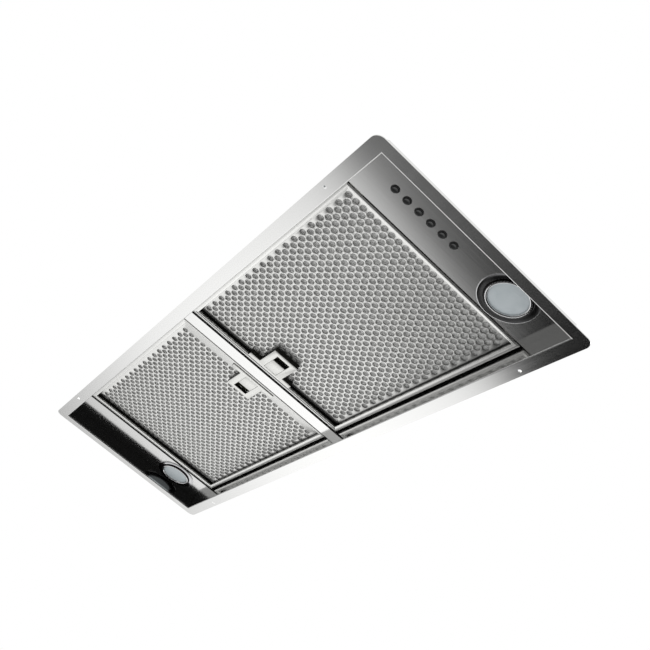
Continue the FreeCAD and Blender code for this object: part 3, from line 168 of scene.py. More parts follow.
FLOOR_Z = -1.7
FLOOR_HALF = 9.0
# Level and edge of the floor's painted reflection.
REFLECTION_GLOW_LEVEL = 1.13
REFLECTION_GLOW_EDGE = ((0.0, 0.0), (0.11, 0.03), (0.165, 0.24), (0.225, 0.5), (0.29, 0.68), (0.38, 0.8),
              (0.52, 0.88), (0.75, 0.95), (1.0, 1.0))

scene.world = bpy.data.worlds.new("white_room")
scene.world.use_nodes = True
room = Bench(scene.world.node_tree)
seen = room.node("ShaderNodeLightPath")
room_light = room.node("ShaderNodeBackground", {"Color": grey(1), "Strength": 0.62})
room_white = room.node("ShaderNodeBackground", {"Color": grey(1), "Strength": 1.0})
room_gloss = room.node("ShaderNodeBackground", {"Color": grey(1), "Strength": 0.95})
lit = blend_shaders(room, seen.also("Is Glossy Ray"), room_light, room_gloss)
lit = blend_shaders(room, seen.also("Is Camera Ray"), lit, room_white)
room.node("ShaderNodeOutputWorld", {"Surface": lit})


def stage_sheet(name, corners, material):
    """A flat piece of studio equipment, which isn't part of the hood."""
    mesh = bpy.data.meshes.new(name)
    mesh.from_pydata([Vector(corner) for corner in corners], [],
                     [tuple(range(len(corners)))])
    mesh.materials.append(material)
    sheet = bpy.data.objects.new(name, mesh)
    scene.collection.objects.link(sheet)
    sheet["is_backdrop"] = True
    return sheet


paper = finish("studio_paper_and_painted_reflection")
seen = paper.node("ShaderNodeLightPath")
spot = paper.node("ShaderNodeSeparateXYZ", {
    0: paper.node("ShaderNodeTexCoord", output="Object")})


def between(bench, value, start, end, low, high, shape="LINEAR"):
    """A value taken from one range to another, and held at its ends."""
    return bench.node("ShaderNodeMapRange", {
        "Value": value, "From Min": start, "From Max": end, "To Min": low,
        "To Max": high}, interpolation_type=shape)


# Painted reflection: for glossy and transmission rays the floor glows with a strength set by
# place, near black near the camera and bright beyond, fading far off.
across, deep = spot.also("X"), spot.also("Y")
dark = between(paper, deep, 0.2, 1.2, 0.13, 0.004)
far_fade = between(paper, across, -2.35, -5.0, 0.0, 1.0, "SMOOTHSTEP")
bright = (1.0 - far_fade * between(paper, deep, 0.1, 1.3, 0.58, 0.42)) * between(
    paper, deep, -1.1, 0.4, 0.42, 1.0, "SMOOTHSTEP") * between(
    paper, deep, 0.1, 1.3, REFLECTION_GLOW_LEVEL, 1.12 * REFLECTION_GLOW_LEVEL)
slant = paper.node("ShaderNodeMath", {0: deep * 0.21, 1: deep * -0.35}, operation="MAXIMUM")
edge = paper.node("ShaderNodeValToRGB", {0: between(
    paper, across + slant, -0.812, -2.012, 0.0, 1.0)}, stops=REFLECTION_GLOW_EDGE)
reflection_glow_strength = dark + (bright - dark) * edge
painted_reflection_glow = paper.node("ShaderNodeEmission", {"Color": grey(1), "Strength": reflection_glow_strength})
plain_paper = blend_shaders(
    paper, 0.55, paper.node("ShaderNodeBsdfDiffuse", {"Color": grey(0.9)}),
    paper.node("ShaderNodeEmission", {"Color": grey(1), "Strength": 1.0}))
mirrored = paper.node("ShaderNodeMath", {
    0: seen.also("Is Glossy Ray"), 1: seen.also("Is Transmission Ray")}, operation="MAXIMUM")
paper.node("ShaderNodeOutputMaterial", {
    "Surface": blend_shaders(paper, mirrored, plain_paper, painted_reflection_glow)})
stage_sheet("studio_floor", [(x * FLOOR_HALF, y * FLOOR_HALF, FLOOR_Z)
                             for x, y in ((-1, -1), (1, -1), (1, 1), (-1, 1))],
            paper.material)

# A black card seen only in reflections: it casts no shadow and lights nothing, and paints dark
# reflections into the steel near the camera.
card_bench = finish("dark_reflection_card_black")
card_bench.node("ShaderNodeOutputMaterial", {
    "Surface": card_bench.node("ShaderNodeEmission", {"Color": grey(1), "Strength": 0.02})})
reflection_card = stage_sheet("dark_reflection_card", [(1.25, -2.4, -1.68), (1.25, 3.0, -1.68),
                                   (1.25, 3.0, -0.14), (1.25, -2.4, -0.14)], card_bench.material)
reflection_card.visible_camera = False
reflection_card.visible_diffuse = False
reflection_card.visible_shadow = False

for name, place, width, power in (("front_softbox", (0.6, -2.2, 0.9), 1.6, 34),
                                  ("rear_softbox", (-1.2, 2.0, 1.8), 1.8, 34)):
    softbox = bpy.data.objects.new(name, bpy.data.lights.new(name, "AREA"))
    softbox.data.size = width
    softbox.data.energy = power
    softbox.location = place
    softbox.rotation_euler = (-Vector(place)).to_track_quat("-Z", "Y").to_euler()
    softbox.visible_camera = False
    scene.collection.objects.link(softbox)


# ---------------------------------------------------------------- pan, end panels, crossbar
# The pan is one pressed sheet of stainless steel, brushed along its length, with
# its flange turned out. The end panels and the crossbar are folded from the same
# sheet, brushed along the fold, and lie in the pan.
def surface(bench, bump=None, **inputs):
    """Finishes a material with its principled shader."""
    named = {name.replace("_", " "): value for name, value in inputs.items()}
    if bump:
        height, distance = bump
        named["Normal"] = bench.node("ShaderNodeBump", {
            "Height": height, "Distance": distance, "Strength": 1.0})
    shader = bench.node("ShaderNodeBsdfPrincipled", named)
    bench.node("ShaderNodeOutputMaterial", {"Surface": shader})
    return bench.material


def tint(bench, factor, first, second):
    """A colour between two others."""
    first, second = [colour if isinstance(colour, Signal) else (*colour, 1)
                     for colour in (first, second)]
    return bench.node("ShaderNodeMix", {0: factor, 6: first, 7: second},
                      output=2, data_type="RGBA")


def noise(bench, place, scale, detail=2.0, stretch=None):
    if stretch:
        place = bench.node("ShaderNodeMapping", {"Vector": place, "Scale": stretch})
    return bench.node("ShaderNodeTexNoise", {
        "Vector": place, "Scale": scale, "Detail": detail, "Roughness": 0.6})


def brushed_steel(name, colour, along, roughness, relief=0.000006, painted_shade=None):
    """Steel with fine brush lines along x or y, and faint wide bands. The part that the given
    function picks gets painted shade: its colour is darkened towards near black, where a
    groove or a wall keeps the light out."""
    bench = finish(name)
    place = bench.node("ShaderNodeTexCoord", output="Object")
    fine = (7, 700, 700) if along == "x" else (700, 7, 700)
    wide = (1.5, 60, 60) if along == "x" else (60, 1.5, 60)
    lines = noise(bench, place, 1.0, 4.0, fine)
    bands = noise(bench, place, 1.0, 2.0, wide)
    shade = lines * 0.6 + bands * 0.4
    skin = tint(bench, shade, tuple(0.9 * part for part in colour), colour)
    if painted_shade:
        parts = bench.node("ShaderNodeSeparateXYZ", {0: place})
        # Painted shade: the picked part's colour is taken towards near black.
        skin = tint(bench, painted_shade(bench, parts), skin, (0.02, 0.02, 0.018))
    return surface(bench, Base_Color=skin, Metallic=1.0,
                   Roughness=shade * 0.1 + (roughness - 0.05), bump=(lines, relief))


def wear(material, *names):
    """Gives a finish to CAD solids that keep their shape."""
    for name in names:
        part = nodes[name]
        if not part.material_slots:
            part.data.materials.append(material)
        for holder in part.material_slots:
            holder.material = material


STEEL = (0.86, 0.86, 0.85)


def painted_end_wall_shade(bench, parts):
    """Painted shade on the insides of the pan's short walls, which face each other in the
    dark.
    """
    along = bench.node("ShaderNodeMath", {0: parts.also("X")}, operation="ABSOLUTE")
    inner = between(bench, along, 0.4288, 0.4291, 0.0, 1.0)
    outer = between(bench, along, 0.4306, 0.4309, 1.0, 0.0)
    return inner * outer * between(bench, parts.also("Z"), 0.002, 0.004, 0.0, 0.8)


pan_steel = brushed_steel("pan_steel", STEEL, "x", 0.13, painted_shade=painted_end_wall_shade)
panel_steel = brushed_steel("panel_steel", STEEL, "y", 0.13)
wear(pan_steel, "pan_frame")
wear(panel_steel, "control_panel", "lamp_panel", "crossbar")


# ---------------------------------------------------------------- filter frames
# Each grease filter has a frame of folded rails, mitred at the corners, with a
# shallow step along the face. The near rail by the crossbar has a slot for the bolt.
def frame_slot(node):
    """The record's material slot of a CAD node."""
    return next(part["material_slot"] for part in frame["record"]["subparts"]
                if part["node"] == node)


def piece(name, mesh, material, body, slot, *stands_for):
    """A finished piece of the hood, which rides on a body."""
    mesh.name = name
    mesh.materials.clear()
    mesh.materials.append(material)
    for face in mesh.polygons:
        face.material_index = 0
    thing = bpy.data.objects.new(name, mesh)
    scene.collection.objects.link(thing)
    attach(thing, body)
    if stands_for:
        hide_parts(*stands_for)
    return thing


def tidy_mesh(form, name, smooth_below=35):
    """A mesh from a bmesh form, its doubles merged and its faces turned outwards."""
    bmesh.ops.remove_doubles(form, verts=form.verts, dist=0.000004)
    bmesh.ops.recalc_face_normals(form, faces=form.faces)
    mesh = bpy.data.meshes.new(name)
    form.to_mesh(mesh)
    form.free()
    mesh.shade_smooth()
    mesh.set_sharp_from_angle(angle=math.radians(smooth_below))
    return mesh


def flipped(mesh):
    """The same mesh on the other side of the crossbar."""
    other = mesh.copy()
    other.transform(Matrix.Scale(-1, 4, (1, 0, 0)))
    other.flip_normals()
    return other


def rail_mesh(low, high, profile, mitre_gap):
    """Four rails round a rectangle, their ends cut at 45 degrees."""
    form = bmesh.new()
    corners = [(low[0], low[1]), (high[0], low[1]), (high[0], high[1]), (low[0], high[1])]
    for here, (start, end) in enumerate(zip(corners, corners[1:] + corners[:1])):
        run = (Vector(end) - Vector(start)).normalized()
        inward = Vector((-run.y, run.x))
        ends = []
        for corner, sign in ((start, 1), (end, -1)):
            loop = []
            for inset, z in profile:
                spot = Vector(corner) + run * sign * (inset + mitre_gap) + inward * inset
                loop.append(form.verts.new((spot.x, spot.y, z)))
            ends.append(loop)
        count = len(profile)
        for step in range(count):
            after = (step + 1) % count
            form.faces.new((ends[0][step], ends[0][after], ends[1][after], ends[1][step]))
        form.faces.new(ends[0])
        form.faces.new(ends[1])
    bmesh.ops.recalc_face_normals(form, faces=form.faces)
    return form


MM = 0.001
near_low, near_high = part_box("filter_frame_near")
face_z = near_low.z
RAIL = 6.5 * MM
screen_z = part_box("filter_face_near")[0].z
rail_profile = [(inset * MM, face_z + height * MM) for inset, height in (
    (0.0, 11.5), (0.0, 0.7), (0.15, 0.25), (0.6, 0.0), (3.3, 0.0), (3.55, 0.1),
    (3.75, 0.4), (4.0, 0.5), (5.7, 0.5), (6.2, 0.65), (6.45, 1.0), (6.5, 1.5),
    (6.5, 7.45), (5.9, 7.45), (5.9, 1.6), (0.7, 1.2), (0.7, 10.8), (6.0, 10.8),
    (6.0, 11.5))]


def painted_rail_wall_shade(bench, parts):
    """Painted shade on the upper part of the rails' inner walls, in the dark under the
    screen's edge.
    """
    middle = (near_low + near_high) / 2
    shade = between(bench, parts.also("Z"), face_z + 2.4 * MM, face_z + 3.2 * MM, 0.0, 1.0)
    for axis, centre, reach in (("X", middle.x, near_high.x - middle.x - 4.5 * MM),
                                ("Y", 0.0, near_high.y - 4.5 * MM)):
        off = bench.node("ShaderNodeMath", {0: parts.also(axis)}, operation="ABSOLUTE")
        if centre:
            off = bench.node("ShaderNodeMath", {0: off - centre}, operation="ABSOLUTE")
        shade = shade * between(bench, off, reach, reach + 0.5 * MM, 1.0, 0.0)
    return shade


rail_steel = brushed_steel(
    "filter_rail_steel", (0.9, 0.9, 0.88), "y", 0.24, painted_shade=painted_rail_wall_shade)
rail_form = rail_mesh(near_low, near_high, rail_profile, 0.07 * MM)
bolt_slot = [Vector((near_low.x - 1 * MM, -18.3 * MM, 24.9 * MM)),
             Vector((near_low.x + RAIL + 1 * MM, 18.3 * MM, 27.1 * MM))]


def without_block(mesh, low, high):
    """The mesh with a block cut out of it."""
    tool_form = bmesh.new()
    bmesh.ops.create_cube(tool_form, size=1)
    for vert in tool_form.verts:
        vert.co = Vector((low[k] if vert.co[k] < 0 else high[k]) for k in range(3))
    tool_mesh = bpy.data.meshes.new("cutter")
    tool_form.to_mesh(tool_mesh)
    tool_form.free()
    tool = bpy.data.objects.new("cutter", tool_mesh)
    whole = bpy.data.objects.new("whole", mesh)
    for thing in (tool, whole):
        scene.collection.objects.link(thing)
    cut = whole.modifiers.new("cut", "BOOLEAN")
    cut.object = tool
    cut.operation = "DIFFERENCE"
    result = settled(whole)
    bpy.data.objects.remove(tool)
    return result


def settled(thing):
    """The evaluated mesh of an object that is then removed."""
    depsgraph = bpy.context.evaluated_depsgraph_get()
    mesh = bpy.data.meshes.new_from_object(thing.evaluated_get(depsgraph))
    bpy.data.objects.remove(thing)
    return mesh


rail_sheet = without_block(tidy_mesh(rail_form, "rails", 30), *bolt_slot)
rail_sheet.shade_smooth()
rail_sheet.set_sharp_from_angle(angle=math.radians(30))
piece("filter_rails_near", rail_sheet, rail_steel, "filter_near", "filter_steel",
      "filter_frame_near")
piece("filter_rails_far", flipped(rail_sheet), rail_steel, "filter_far", "filter_steel",
      "filter_frame_far")


# ---------------------------------------------------------------- perforated faces
# The face of each filter is a thin sheet punched with staggered round holes, whose
# rims are eased. It lies in the frame, over the mesh pack.
def recipe(name, sizes):
    """A Geometry Nodes tree with named inputs; gives its bench and their signals."""
    tree = bpy.data.node_groups.new(name, "GeometryNodeTree")
    bench = Bench(tree)
    tree.interface.new_socket("Geometry", in_out="OUTPUT",
                              socket_type="NodeSocketGeometry")
    for label, value in sizes.items():
        kind = "NodeSocketInt" if isinstance(value, int) else "NodeSocketFloat"
        tree.interface.new_socket(label, in_out="INPUT", socket_type=kind)
    entry = bench.tree.nodes.new("NodeGroupInput")
    return bench, {label: Signal(bench, entry.outputs[label]) for label in sizes}


def served(bench, geometry, material):
    """Ends a tree: instances made real, and the material set."""
    real = bench.node("GeometryNodeRealizeInstances", {0: geometry})
    coated = bench.node("GeometryNodeSetMaterial", {"Geometry": real, "Material": material})
    bench.node("NodeGroupOutput", {0: coated})


def grown(name, bench, sizes, smooth_below=35):
    """Runs a tree once and keeps its result as a plain closed mesh."""
    host = bpy.data.objects.new(name, bpy.data.meshes.new(name))
    modifier = host.modifiers.new(name, "NODES")
    modifier.node_group = bench.tree
    for item in bench.tree.interface.items_tree:
        if item.in_out == "INPUT" and item.name in sizes:
            modifier[item.identifier] = sizes[item.name]
    scene.collection.objects.link(host)
    form = bmesh.new()
    mesh = settled(host)
    form.from_mesh(mesh)
    bpy.data.meshes.remove(mesh)
    return tidy_mesh(form, name, smooth_below)


def vector(bench, x, y, z):
    return bench.node("ShaderNodeCombineXYZ", {0: x, 1: y, 2: z})


hole_sizes = {
    "Columns": 37, "Rows": 24, "Column spacing": 8.62 * MM, "Pitch": 10.34 * MM,
    "First X": 0.0, "First Y": 0.0, "Hole radius": 4.0 * MM, "Rim": 0.42 * MM,
    "Left": 0.0, "Right": 0.1, "Half width": 0.1, "Low": screen_z, "Sheet": 0.8 * MM,
    "Last Y": 0.13,
}
punch, size = recipe("punched_sheet", hole_sizes)
number = punch.node("GeometryNodeInputIndex")
column = punch.node("ShaderNodeMath", {0: number / size["Rows"]}, operation="FLOOR")
row = number - column * size["Rows"]
odd = punch.node("ShaderNodeMath", {0: column, 1: 2.0}, operation="MODULO")
spot_x = size["First X"] + column * size["Column spacing"]
spot_y = size["First Y"] + (row + odd * 0.5) * size["Pitch"]
spots = punch.node("GeometryNodePoints", {
    "Count": size["Columns"] * size["Rows"], "Position": vector(punch, spot_x, spot_y, 0.0)})
at = punch.node("ShaderNodeSeparateXYZ", {0: punch.node("GeometryNodeInputPosition")})
spots = punch.node("GeometryNodeDeleteGeometry", {
    "Geometry": spots, "Selection": at.also("Y") > size["Last Y"]}, domain="POINT")
mouth_radius = size["Hole radius"] + size["Rim"]
mouth = punch.node("GeometryNodeCurvePrimitiveCircle", {
    "Resolution": 12, "Radius": mouth_radius}, mode="RADIUS")
mouths = punch.node("GeometryNodeRealizeInstances", {0: punch.node(
    "GeometryNodeInstanceOnPoints", {"Points": spots, "Instance": mouth})})
edge = punch.node("GeometryNodeCurvePrimitiveQuadrilateral", {
    "Width": size["Right"] - size["Left"], "Height": size["Half width"] * 2.0},
    mode="RECTANGLE")
edge = punch.node("GeometryNodeTransform", {
    "Geometry": edge,
    "Translation": vector(punch, (size["Left"] + size["Right"]) * 0.5, 0.0, 0.0)})
plate = punch.node("GeometryNodeFillCurve", {
    0: punch.node("GeometryNodeJoinGeometry", {0: [mouths, edge]})}, mode="TRIANGLES")
front_side = punch.node("GeometryNodeTransform", {
    "Geometry": plate, "Translation": vector(punch, 0.0, 0.0, size["Low"])})
back_side = punch.node("GeometryNodeTransform", {
    "Geometry": plate, "Translation": vector(punch, 0.0, 0.0, size["Low"] + size["Sheet"])})


def drawn_up(bench, start, chosen, rise, grow):
    """Draws edges up by a rise, and scales the new ring across."""
    inputs = {"Mesh": start, "Offset": vector(bench, 0.0, 0.0, rise), "Offset Scale": 1.0}
    if chosen:
        inputs["Selection"] = chosen
    drawn = bench.node("GeometryNodeExtrudeMesh", inputs, mode="EDGES")
    here = bench.node("ShaderNodeSeparateXYZ", {
        0: bench.node("GeometryNodeInputPosition")})
    moved = bench.node("GeometryNodeSetPosition", {
        "Geometry": drawn, "Selection": drawn.also("Top"),
        "Position": vector(bench, here.also("X") * grow, here.also("Y") * grow,
                           here.also("Z"))})
    return moved, drawn.also("Top")


ring = punch.node("GeometryNodeCurveToMesh", {"Curve": mouth})
ring, top = drawn_up(punch, ring, None, size["Rim"] * 0.25,
                     (size["Hole radius"] + size["Rim"] * 0.35) / mouth_radius)
ring, top = drawn_up(punch, ring, top, size["Rim"] * 0.45,
                     size["Hole radius"] / (size["Hole radius"] + size["Rim"] * 0.35))
ring, top = drawn_up(punch, ring, top, size["Sheet"] - size["Rim"] * 0.7, 1.0)
ring, top = drawn_up(punch, ring, top, 0.0, mouth_radius / size["Hole radius"])
walls = punch.node("GeometryNodeInstanceOnPoints", {"Points": spots, "Instance": ring})
walls = punch.node("GeometryNodeTransform", {
    "Geometry": punch.node("GeometryNodeRealizeInstances", {0: walls}),
    "Translation": vector(punch, 0.0, 0.0, size["Low"])})
rim, top = drawn_up(punch, punch.node("GeometryNodeTransform", {
    "Geometry": punch.node("GeometryNodeCurveToMesh", {"Curve": edge}),
    "Translation": vector(punch, 0.0, 0.0, size["Low"])}), None, size["Sheet"], 1.0)


def painted_corner_shade(bench, parts):
    """Painted shade: darkens the near screen's steel by up to half towards its corner by the
    lamp, standing in for the darker reflection there.
    """
    return between(bench, parts.also("X"), 0.16, 0.35, 0.0, 0.5) * between(
        bench, parts.also("Y"), -0.05, 0.12, 0.0, 1.0)


face_steel = brushed_steel("filter_face_steel", (0.9, 0.9, 0.88), "y", 0.34,
                           painted_shade=painted_corner_shade)
served(punch, punch.node("GeometryNodeJoinGeometry", {
    0: [front_side, back_side, walls, rim]}), face_steel)

for side, first_x, first_y in (("near", 30.5, -115.8), ("far", 44.0, -113.2)):
    low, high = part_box("filter_face_" + side)
    left, right = sorted((abs(low.x), abs(high.x)))
    sizes = dict(hole_sizes)
    sizes.update({"First X": first_x * MM, "First Y": first_y * MM, "Left": left,
                  "Right": right, "Half width": high.y, "Last Y": 121.5 * MM,
                  "Columns": 37 if side == "near" else 36})
    sheet = grown("filter_screen_" + side, punch, sizes, smooth_below=50)
    if side == "far":
        sheet = flipped(sheet)
    piece("filter_screen_" + side, sheet, face_steel, "filter_" + side, "filter_steel",
          "filter_face_" + side)


# ---------------------------------------------------------------- mesh packs
# Behind each face lie two layers of expanded aluminium mesh, crossed and slightly
# crumpled, which catch the grease, over a back sheet of creased foil.
strand_sizes = {"Strands": 10, "Bends": 10, "Step": 1 * MM, "Swing": 1 * MM,
                "Spacing": 1 * MM, "Start X": 0.0, "Start Y": 0.0, "Height": 0.0,
                "Width": 0.3 * MM}
weave, size = recipe("expanded_layer", strand_sizes)
number = weave.node("GeometryNodeInputIndex")
row_starts = weave.node("GeometryNodePoints", {
    "Count": size["Strands"], "Position": vector(weave, number * size["Spacing"], 0.0, 0.0)})
strand = weave.node("GeometryNodeResampleCurve", {
    "Curve": weave.node("GeometryNodeCurvePrimitiveLine", {
        "Start": (0, 0, 0), "End": vector(weave, 0.0, size["Bends"] * size["Step"], 0.0)}),
    "Count": size["Bends"] + 1.0}, mode="COUNT")
strands = weave.node("GeometryNodeRealizeInstances", {0: weave.node(
    "GeometryNodeInstanceOnPoints", {"Points": row_starts, "Instance": strand})})
per_strand = size["Bends"] + 1.0
which = weave.node("ShaderNodeMath", {0: number / per_strand}, operation="FLOOR")
bend = number - which * per_strand
parity = weave.node("ShaderNodeMath", {0: bend + which, 1: 2.0}, operation="MODULO")
at = weave.node("ShaderNodeSeparateXYZ", {0: weave.node("GeometryNodeInputPosition")})
crumple = weave.node("ShaderNodeTexNoise", {
    "Vector": weave.node("GeometryNodeInputPosition"), "Scale": 95.0, "Detail": 1.0})
strands = weave.node("GeometryNodeSetPosition", {
    "Geometry": strands, "Position": vector(
        weave, at.also("X") + size["Start X"] + (parity - 0.5) * size["Swing"],
        at.also("Y") + size["Start Y"],
        size["Height"] + (crumple - 0.5) * (0.9 * MM))})
served(weave, weave.node("GeometryNodeCurveToMesh", {
    "Curve": strands, "Fill Caps": True,
    "Profile Curve": weave.node("GeometryNodeCurvePrimitiveCircle", {
        "Resolution": 3, "Radius": size["Width"]}, mode="RADIUS")}), face_steel)

crease_sizes = {"Long": 0.3, "Wide": 0.2, "Cells along": 100, "Cells across": 80,
                "Middle": 0.0, "Level": 0.03, "Relief": 0.4 * MM, "Gauge": 0.15 * MM}
crease, size = recipe("creased_foil", crease_sizes)
ground = crease.node("GeometryNodeMeshGrid", {
    "Size X": size["Long"], "Size Y": size["Wide"],
    "Vertices X": size["Cells along"], "Vertices Y": size["Cells across"]})
at = crease.node("ShaderNodeSeparateXYZ", {0: crease.node("GeometryNodeInputPosition")})
folds = crease.node("ShaderNodeTexNoise", {
    "Vector": crease.node("GeometryNodeInputPosition"), "Scale": 210.0, "Detail": 1.0})
ground = crease.node("GeometryNodeSetPosition", {
    "Geometry": ground, "Position": vector(
        crease, at.also("X") + size["Middle"], at.also("Y"),
        size["Level"] + (folds - 0.5) * size["Relief"] * 2.0)})
body_of_foil = crease.node("GeometryNodeExtrudeMesh", {
    "Mesh": ground, "Offset": (0.0, 0.0, 1.0), "Offset Scale": size["Gauge"],
    "Individual": False}, mode="FACES")
served(crease, crease.node("GeometryNodeJoinGeometry", {
    0: [crease.node("GeometryNodeFlipFaces", {0: ground}), body_of_foil]}), face_steel)

foil = finish("mesh_foil")
place = foil.node("ShaderNodeTexCoord", output="Object")
dull = noise(foil, place, 160.0, 3.0)
mesh_foil = surface(foil, Base_Color=tint(foil, dull, (0.72, 0.72, 0.71), (0.92, 0.92, 0.91)),
                    Metallic=0.55, Roughness=dull * 0.3 + 0.35)

for side, body in (("near", "filter_near"), ("far", "filter_far")):
    low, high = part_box("filter_mesh_" + side)
    left, right = sorted((abs(low.x), abs(high.x)))
    form = bmesh.new()
    for spacing, step, height, turned in ((4.6, 2.1, 1.0, False), (3.9, 2.4, 1.8, True)):
        across, along = (right - left, 2 * high.y)
        if turned:
            across, along = along, across
        sizes = dict(strand_sizes)
        sizes.update({
            "Strands": int((across / MM - 4) / spacing), "Bends": int((along / MM - 3) / step),
            "Step": step * MM, "Swing": spacing * MM - 0.3 * MM, "Spacing": spacing * MM,
            "Start X": 3.2 * MM, "Start Y": 1.5 * MM, "Height": low.z + height * MM,
            "Width": 0.36 * MM})
        layer = grown("layer", weave, sizes, smooth_below=20)
        if turned:
            layer.transform(Matrix(((0, 1, 0, 0), (1, 0, 0, 0), (0, 0, 1, 0), (0, 0, 0, 1))))
            layer.flip_normals()
        layer.transform(Matrix.Translation((left, -high.y, 0)))
        form.from_mesh(layer)
        bpy.data.meshes.remove(layer)
    sizes = dict(crease_sizes)
    sizes.update({"Long": right - left - 1 * MM, "Wide": 2 * high.y - 1 * MM,
                  "Middle": (left + right) / 2, "Level": high.z - 0.62 * MM})
    layer = grown("foil_sheet", crease, sizes)
    form.from_mesh(layer)
    bpy.data.meshes.remove(layer)
    pack = bpy.data.meshes.new("mesh_pack")
    form.to_mesh(pack)
    form.free()
    pack.shade_smooth()
    pack.set_sharp_from_angle(angle=math.radians(70))
    if side == "far":
        pack = flipped(pack)
    piece("filter_pack_" + side, pack, mesh_foil, body, "filter_mesh", "filter_mesh_" + side)
wear(rail_steel, "hinge_tongues_near", "hinge_tongues_far")


# ---------------------------------------------------------------- latches
# A pressed, lacquered housing on each filter holds a sliding pad with a bolt. The
# pad is drawn back with a fingertip in the dark window, behind which a dark block stands in
# for shade.
def eased(node, material, body, slot, width, segments=2, limit=32):
    """Stands for a CAD solid, with its sharp edges rounded."""
    form = bmesh.new()
    form.from_mesh(nodes[node].data)
    bmesh.ops.remove_doubles(form, verts=form.verts, dist=0.00001)
    bmesh.ops.dissolve_limit(form, angle_limit=math.radians(0.6), verts=form.verts,
                             edges=form.edges)
    mesh = bpy.data.meshes.new(node)
    form.to_mesh(mesh)
    form.free()
    whole = bpy.data.objects.new(node + "_whole", mesh)
    scene.collection.objects.link(whole)
    bevel = whole.modifiers.new("eased", "BEVEL")
    bevel.width = width
    bevel.segments = segments
    bevel.limit_method = "ANGLE"
    bevel.angle_limit = math.radians(limit)
    result = settled(whole)
    result.shade_smooth()
    result.set_sharp_from_angle(angle=math.radians(38))
    return piece(node + "_eased", result, material, body, slot, node)


lacquer = finish("latch_lacquer")
place = lacquer.node("ShaderNodeTexCoord", output="Object")
mottle = noise(lacquer, place, 420.0, 2.0)
latch_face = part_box("latch_housing_near")[0].z
skin = tint(lacquer, mottle, (0.86, 0.86, 0.83), (0.92, 0.92, 0.89))
height = lacquer.node("ShaderNodeSeparateXYZ", {0: place}).also("Z")
# Painted shade: the housing's side walls, above its face, are coloured near black.
skin = tint(lacquer, between(lacquer, height, latch_face + 0.7 * MM, latch_face + 1.0 * MM,
                             0.0, 1.0), skin, (0.015, 0.015, 0.012))
latch_lacquer = surface(
    lacquer, Base_Color=skin, Metallic=0.55, Roughness=mottle * 0.1 + 0.3,
    bump=(mottle, 0.00002))
shadow_plastic = finish("latch_inside")
place = shadow_plastic.node("ShaderNodeTexCoord", output="Object")
mottle = noise(shadow_plastic, place, 900.0, 2.0)
latch_inside = surface(
    shadow_plastic, Base_Color=tint(shadow_plastic, mottle, (0.045, 0.05, 0.026),
                                    (0.075, 0.08, 0.05)),
    Roughness=mottle * 0.2 + 0.5, bump=(mottle, 0.00005))


# A dark block behind each latch's window, which paints the shade inside it.
WINDOW_SHADE_BLOCK = (Vector((46.6, -11.4, 28.64)) * MM, Vector((62.5, 11.4, 28.98)) * MM)


def cushion_block(low, high, ease):
    """A block with rounded edges, as a bmesh form."""
    form = bmesh.new()
    bmesh.ops.create_cube(form, size=1)
    for vert in form.verts:
        vert.co = Vector((low[k] if vert.co[k] < 0 else high[k]) for k in range(3))
    bmesh.ops.bevel(form, geom=form.edges[:], offset=ease, segments=2, affect="EDGES",
                    profile=0.5)
    return form


for side in ("near", "far"):
    eased("latch_housing_" + side, latch_lacquer, "filter_" + side, "latch_metal", 0.3 * MM)
    eased("latch_slider_" + side, latch_lacquer, "latch_" + side, "latch_metal", 0.25 * MM)
    shield = tidy_mesh(cushion_block(*WINDOW_SHADE_BLOCK, 0.1 * MM), "shield")
    if side == "far":
        shield = flipped(shield)
    piece("latch_shield_" + side, shield, latch_inside, "filter_" + side, "latch_dark")
wear(latch_inside, "latch_springs_near", "latch_springs_far")


# ---------------------------------------------------------------- lamps
# Each lamp has a chromed trim ring with a toothed inner edge round a frosted glass
# lens, held in the end panel by a spun can with two spring clips.
chrome = finish("lamp_chrome")
place = chrome.node("ShaderNodeTexCoord", output="Object")
smear = noise(chrome, place, 60.0, 2.0)
eye_low, eye_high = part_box("lamp_bezel_near")
eye = (eye_low + eye_high) / 2
spot = chrome.node("ShaderNodeSeparateXYZ", {0: place})
out_x = chrome.node("ShaderNodeMath", {0: spot.also("X")}, operation="ABSOLUTE") - eye.x
out_y = spot.also("Y") - eye.y
from_eye = chrome.node("ShaderNodeMath", {
    0: out_x * out_x + out_y * out_y, 1: 0.5}, operation="POWER")
turn = chrome.node("ShaderNodeMath", {0: out_y, 1: out_x}, operation="ARCTAN2")
teeth = chrome.node("ShaderNodeMath", {0: turn * 46.0}, operation="SINE") > 0.1
ridge = from_eye + teeth * (0.55 * MM)
# Painted shade in the toothed groove, and a painted dark reflection on the trim's outward
# side: both take the chrome's colour towards black.
groove = between(chrome, ridge, 24.6 * MM, 24.9 * MM, 0.0, 0.94) * between(
    chrome, from_eye, 26.3 * MM, 26.6 * MM, 1.0, 0.0)
outward = chrome.node("ShaderNodeMath", {0: turn}, operation="COSINE")
painted_dark_reflection = between(chrome, outward, -0.35, 0.25, 0.0, 0.86) * between(
    chrome, from_eye, 26.3 * MM, 26.6 * MM, 0.0, 1.0) * between(
    chrome, from_eye, 32.6 * MM, 33.2 * MM, 1.0, 0.0)
painted_shade_and_reflection = chrome.node("ShaderNodeMath", {0: groove, 1: painted_dark_reflection}, operation="MAXIMUM")
shine = tint(chrome, smear, (0.76, 0.76, 0.77), (0.86, 0.86, 0.87))
lamp_chrome = surface(chrome, Base_Color=tint(chrome, painted_shade_and_reflection, shine, (0.01, 0.01, 0.01)),
                      Metallic=1.0, Roughness=smear * 0.06 + 0.05)
frost = finish("frosted_glass")
place = frost.node("ShaderNodeTexCoord", output="Object")
grainy = noise(frost, place, 900.0, 3.0)
cloudy = noise(frost, place, 45.0, 2.0)
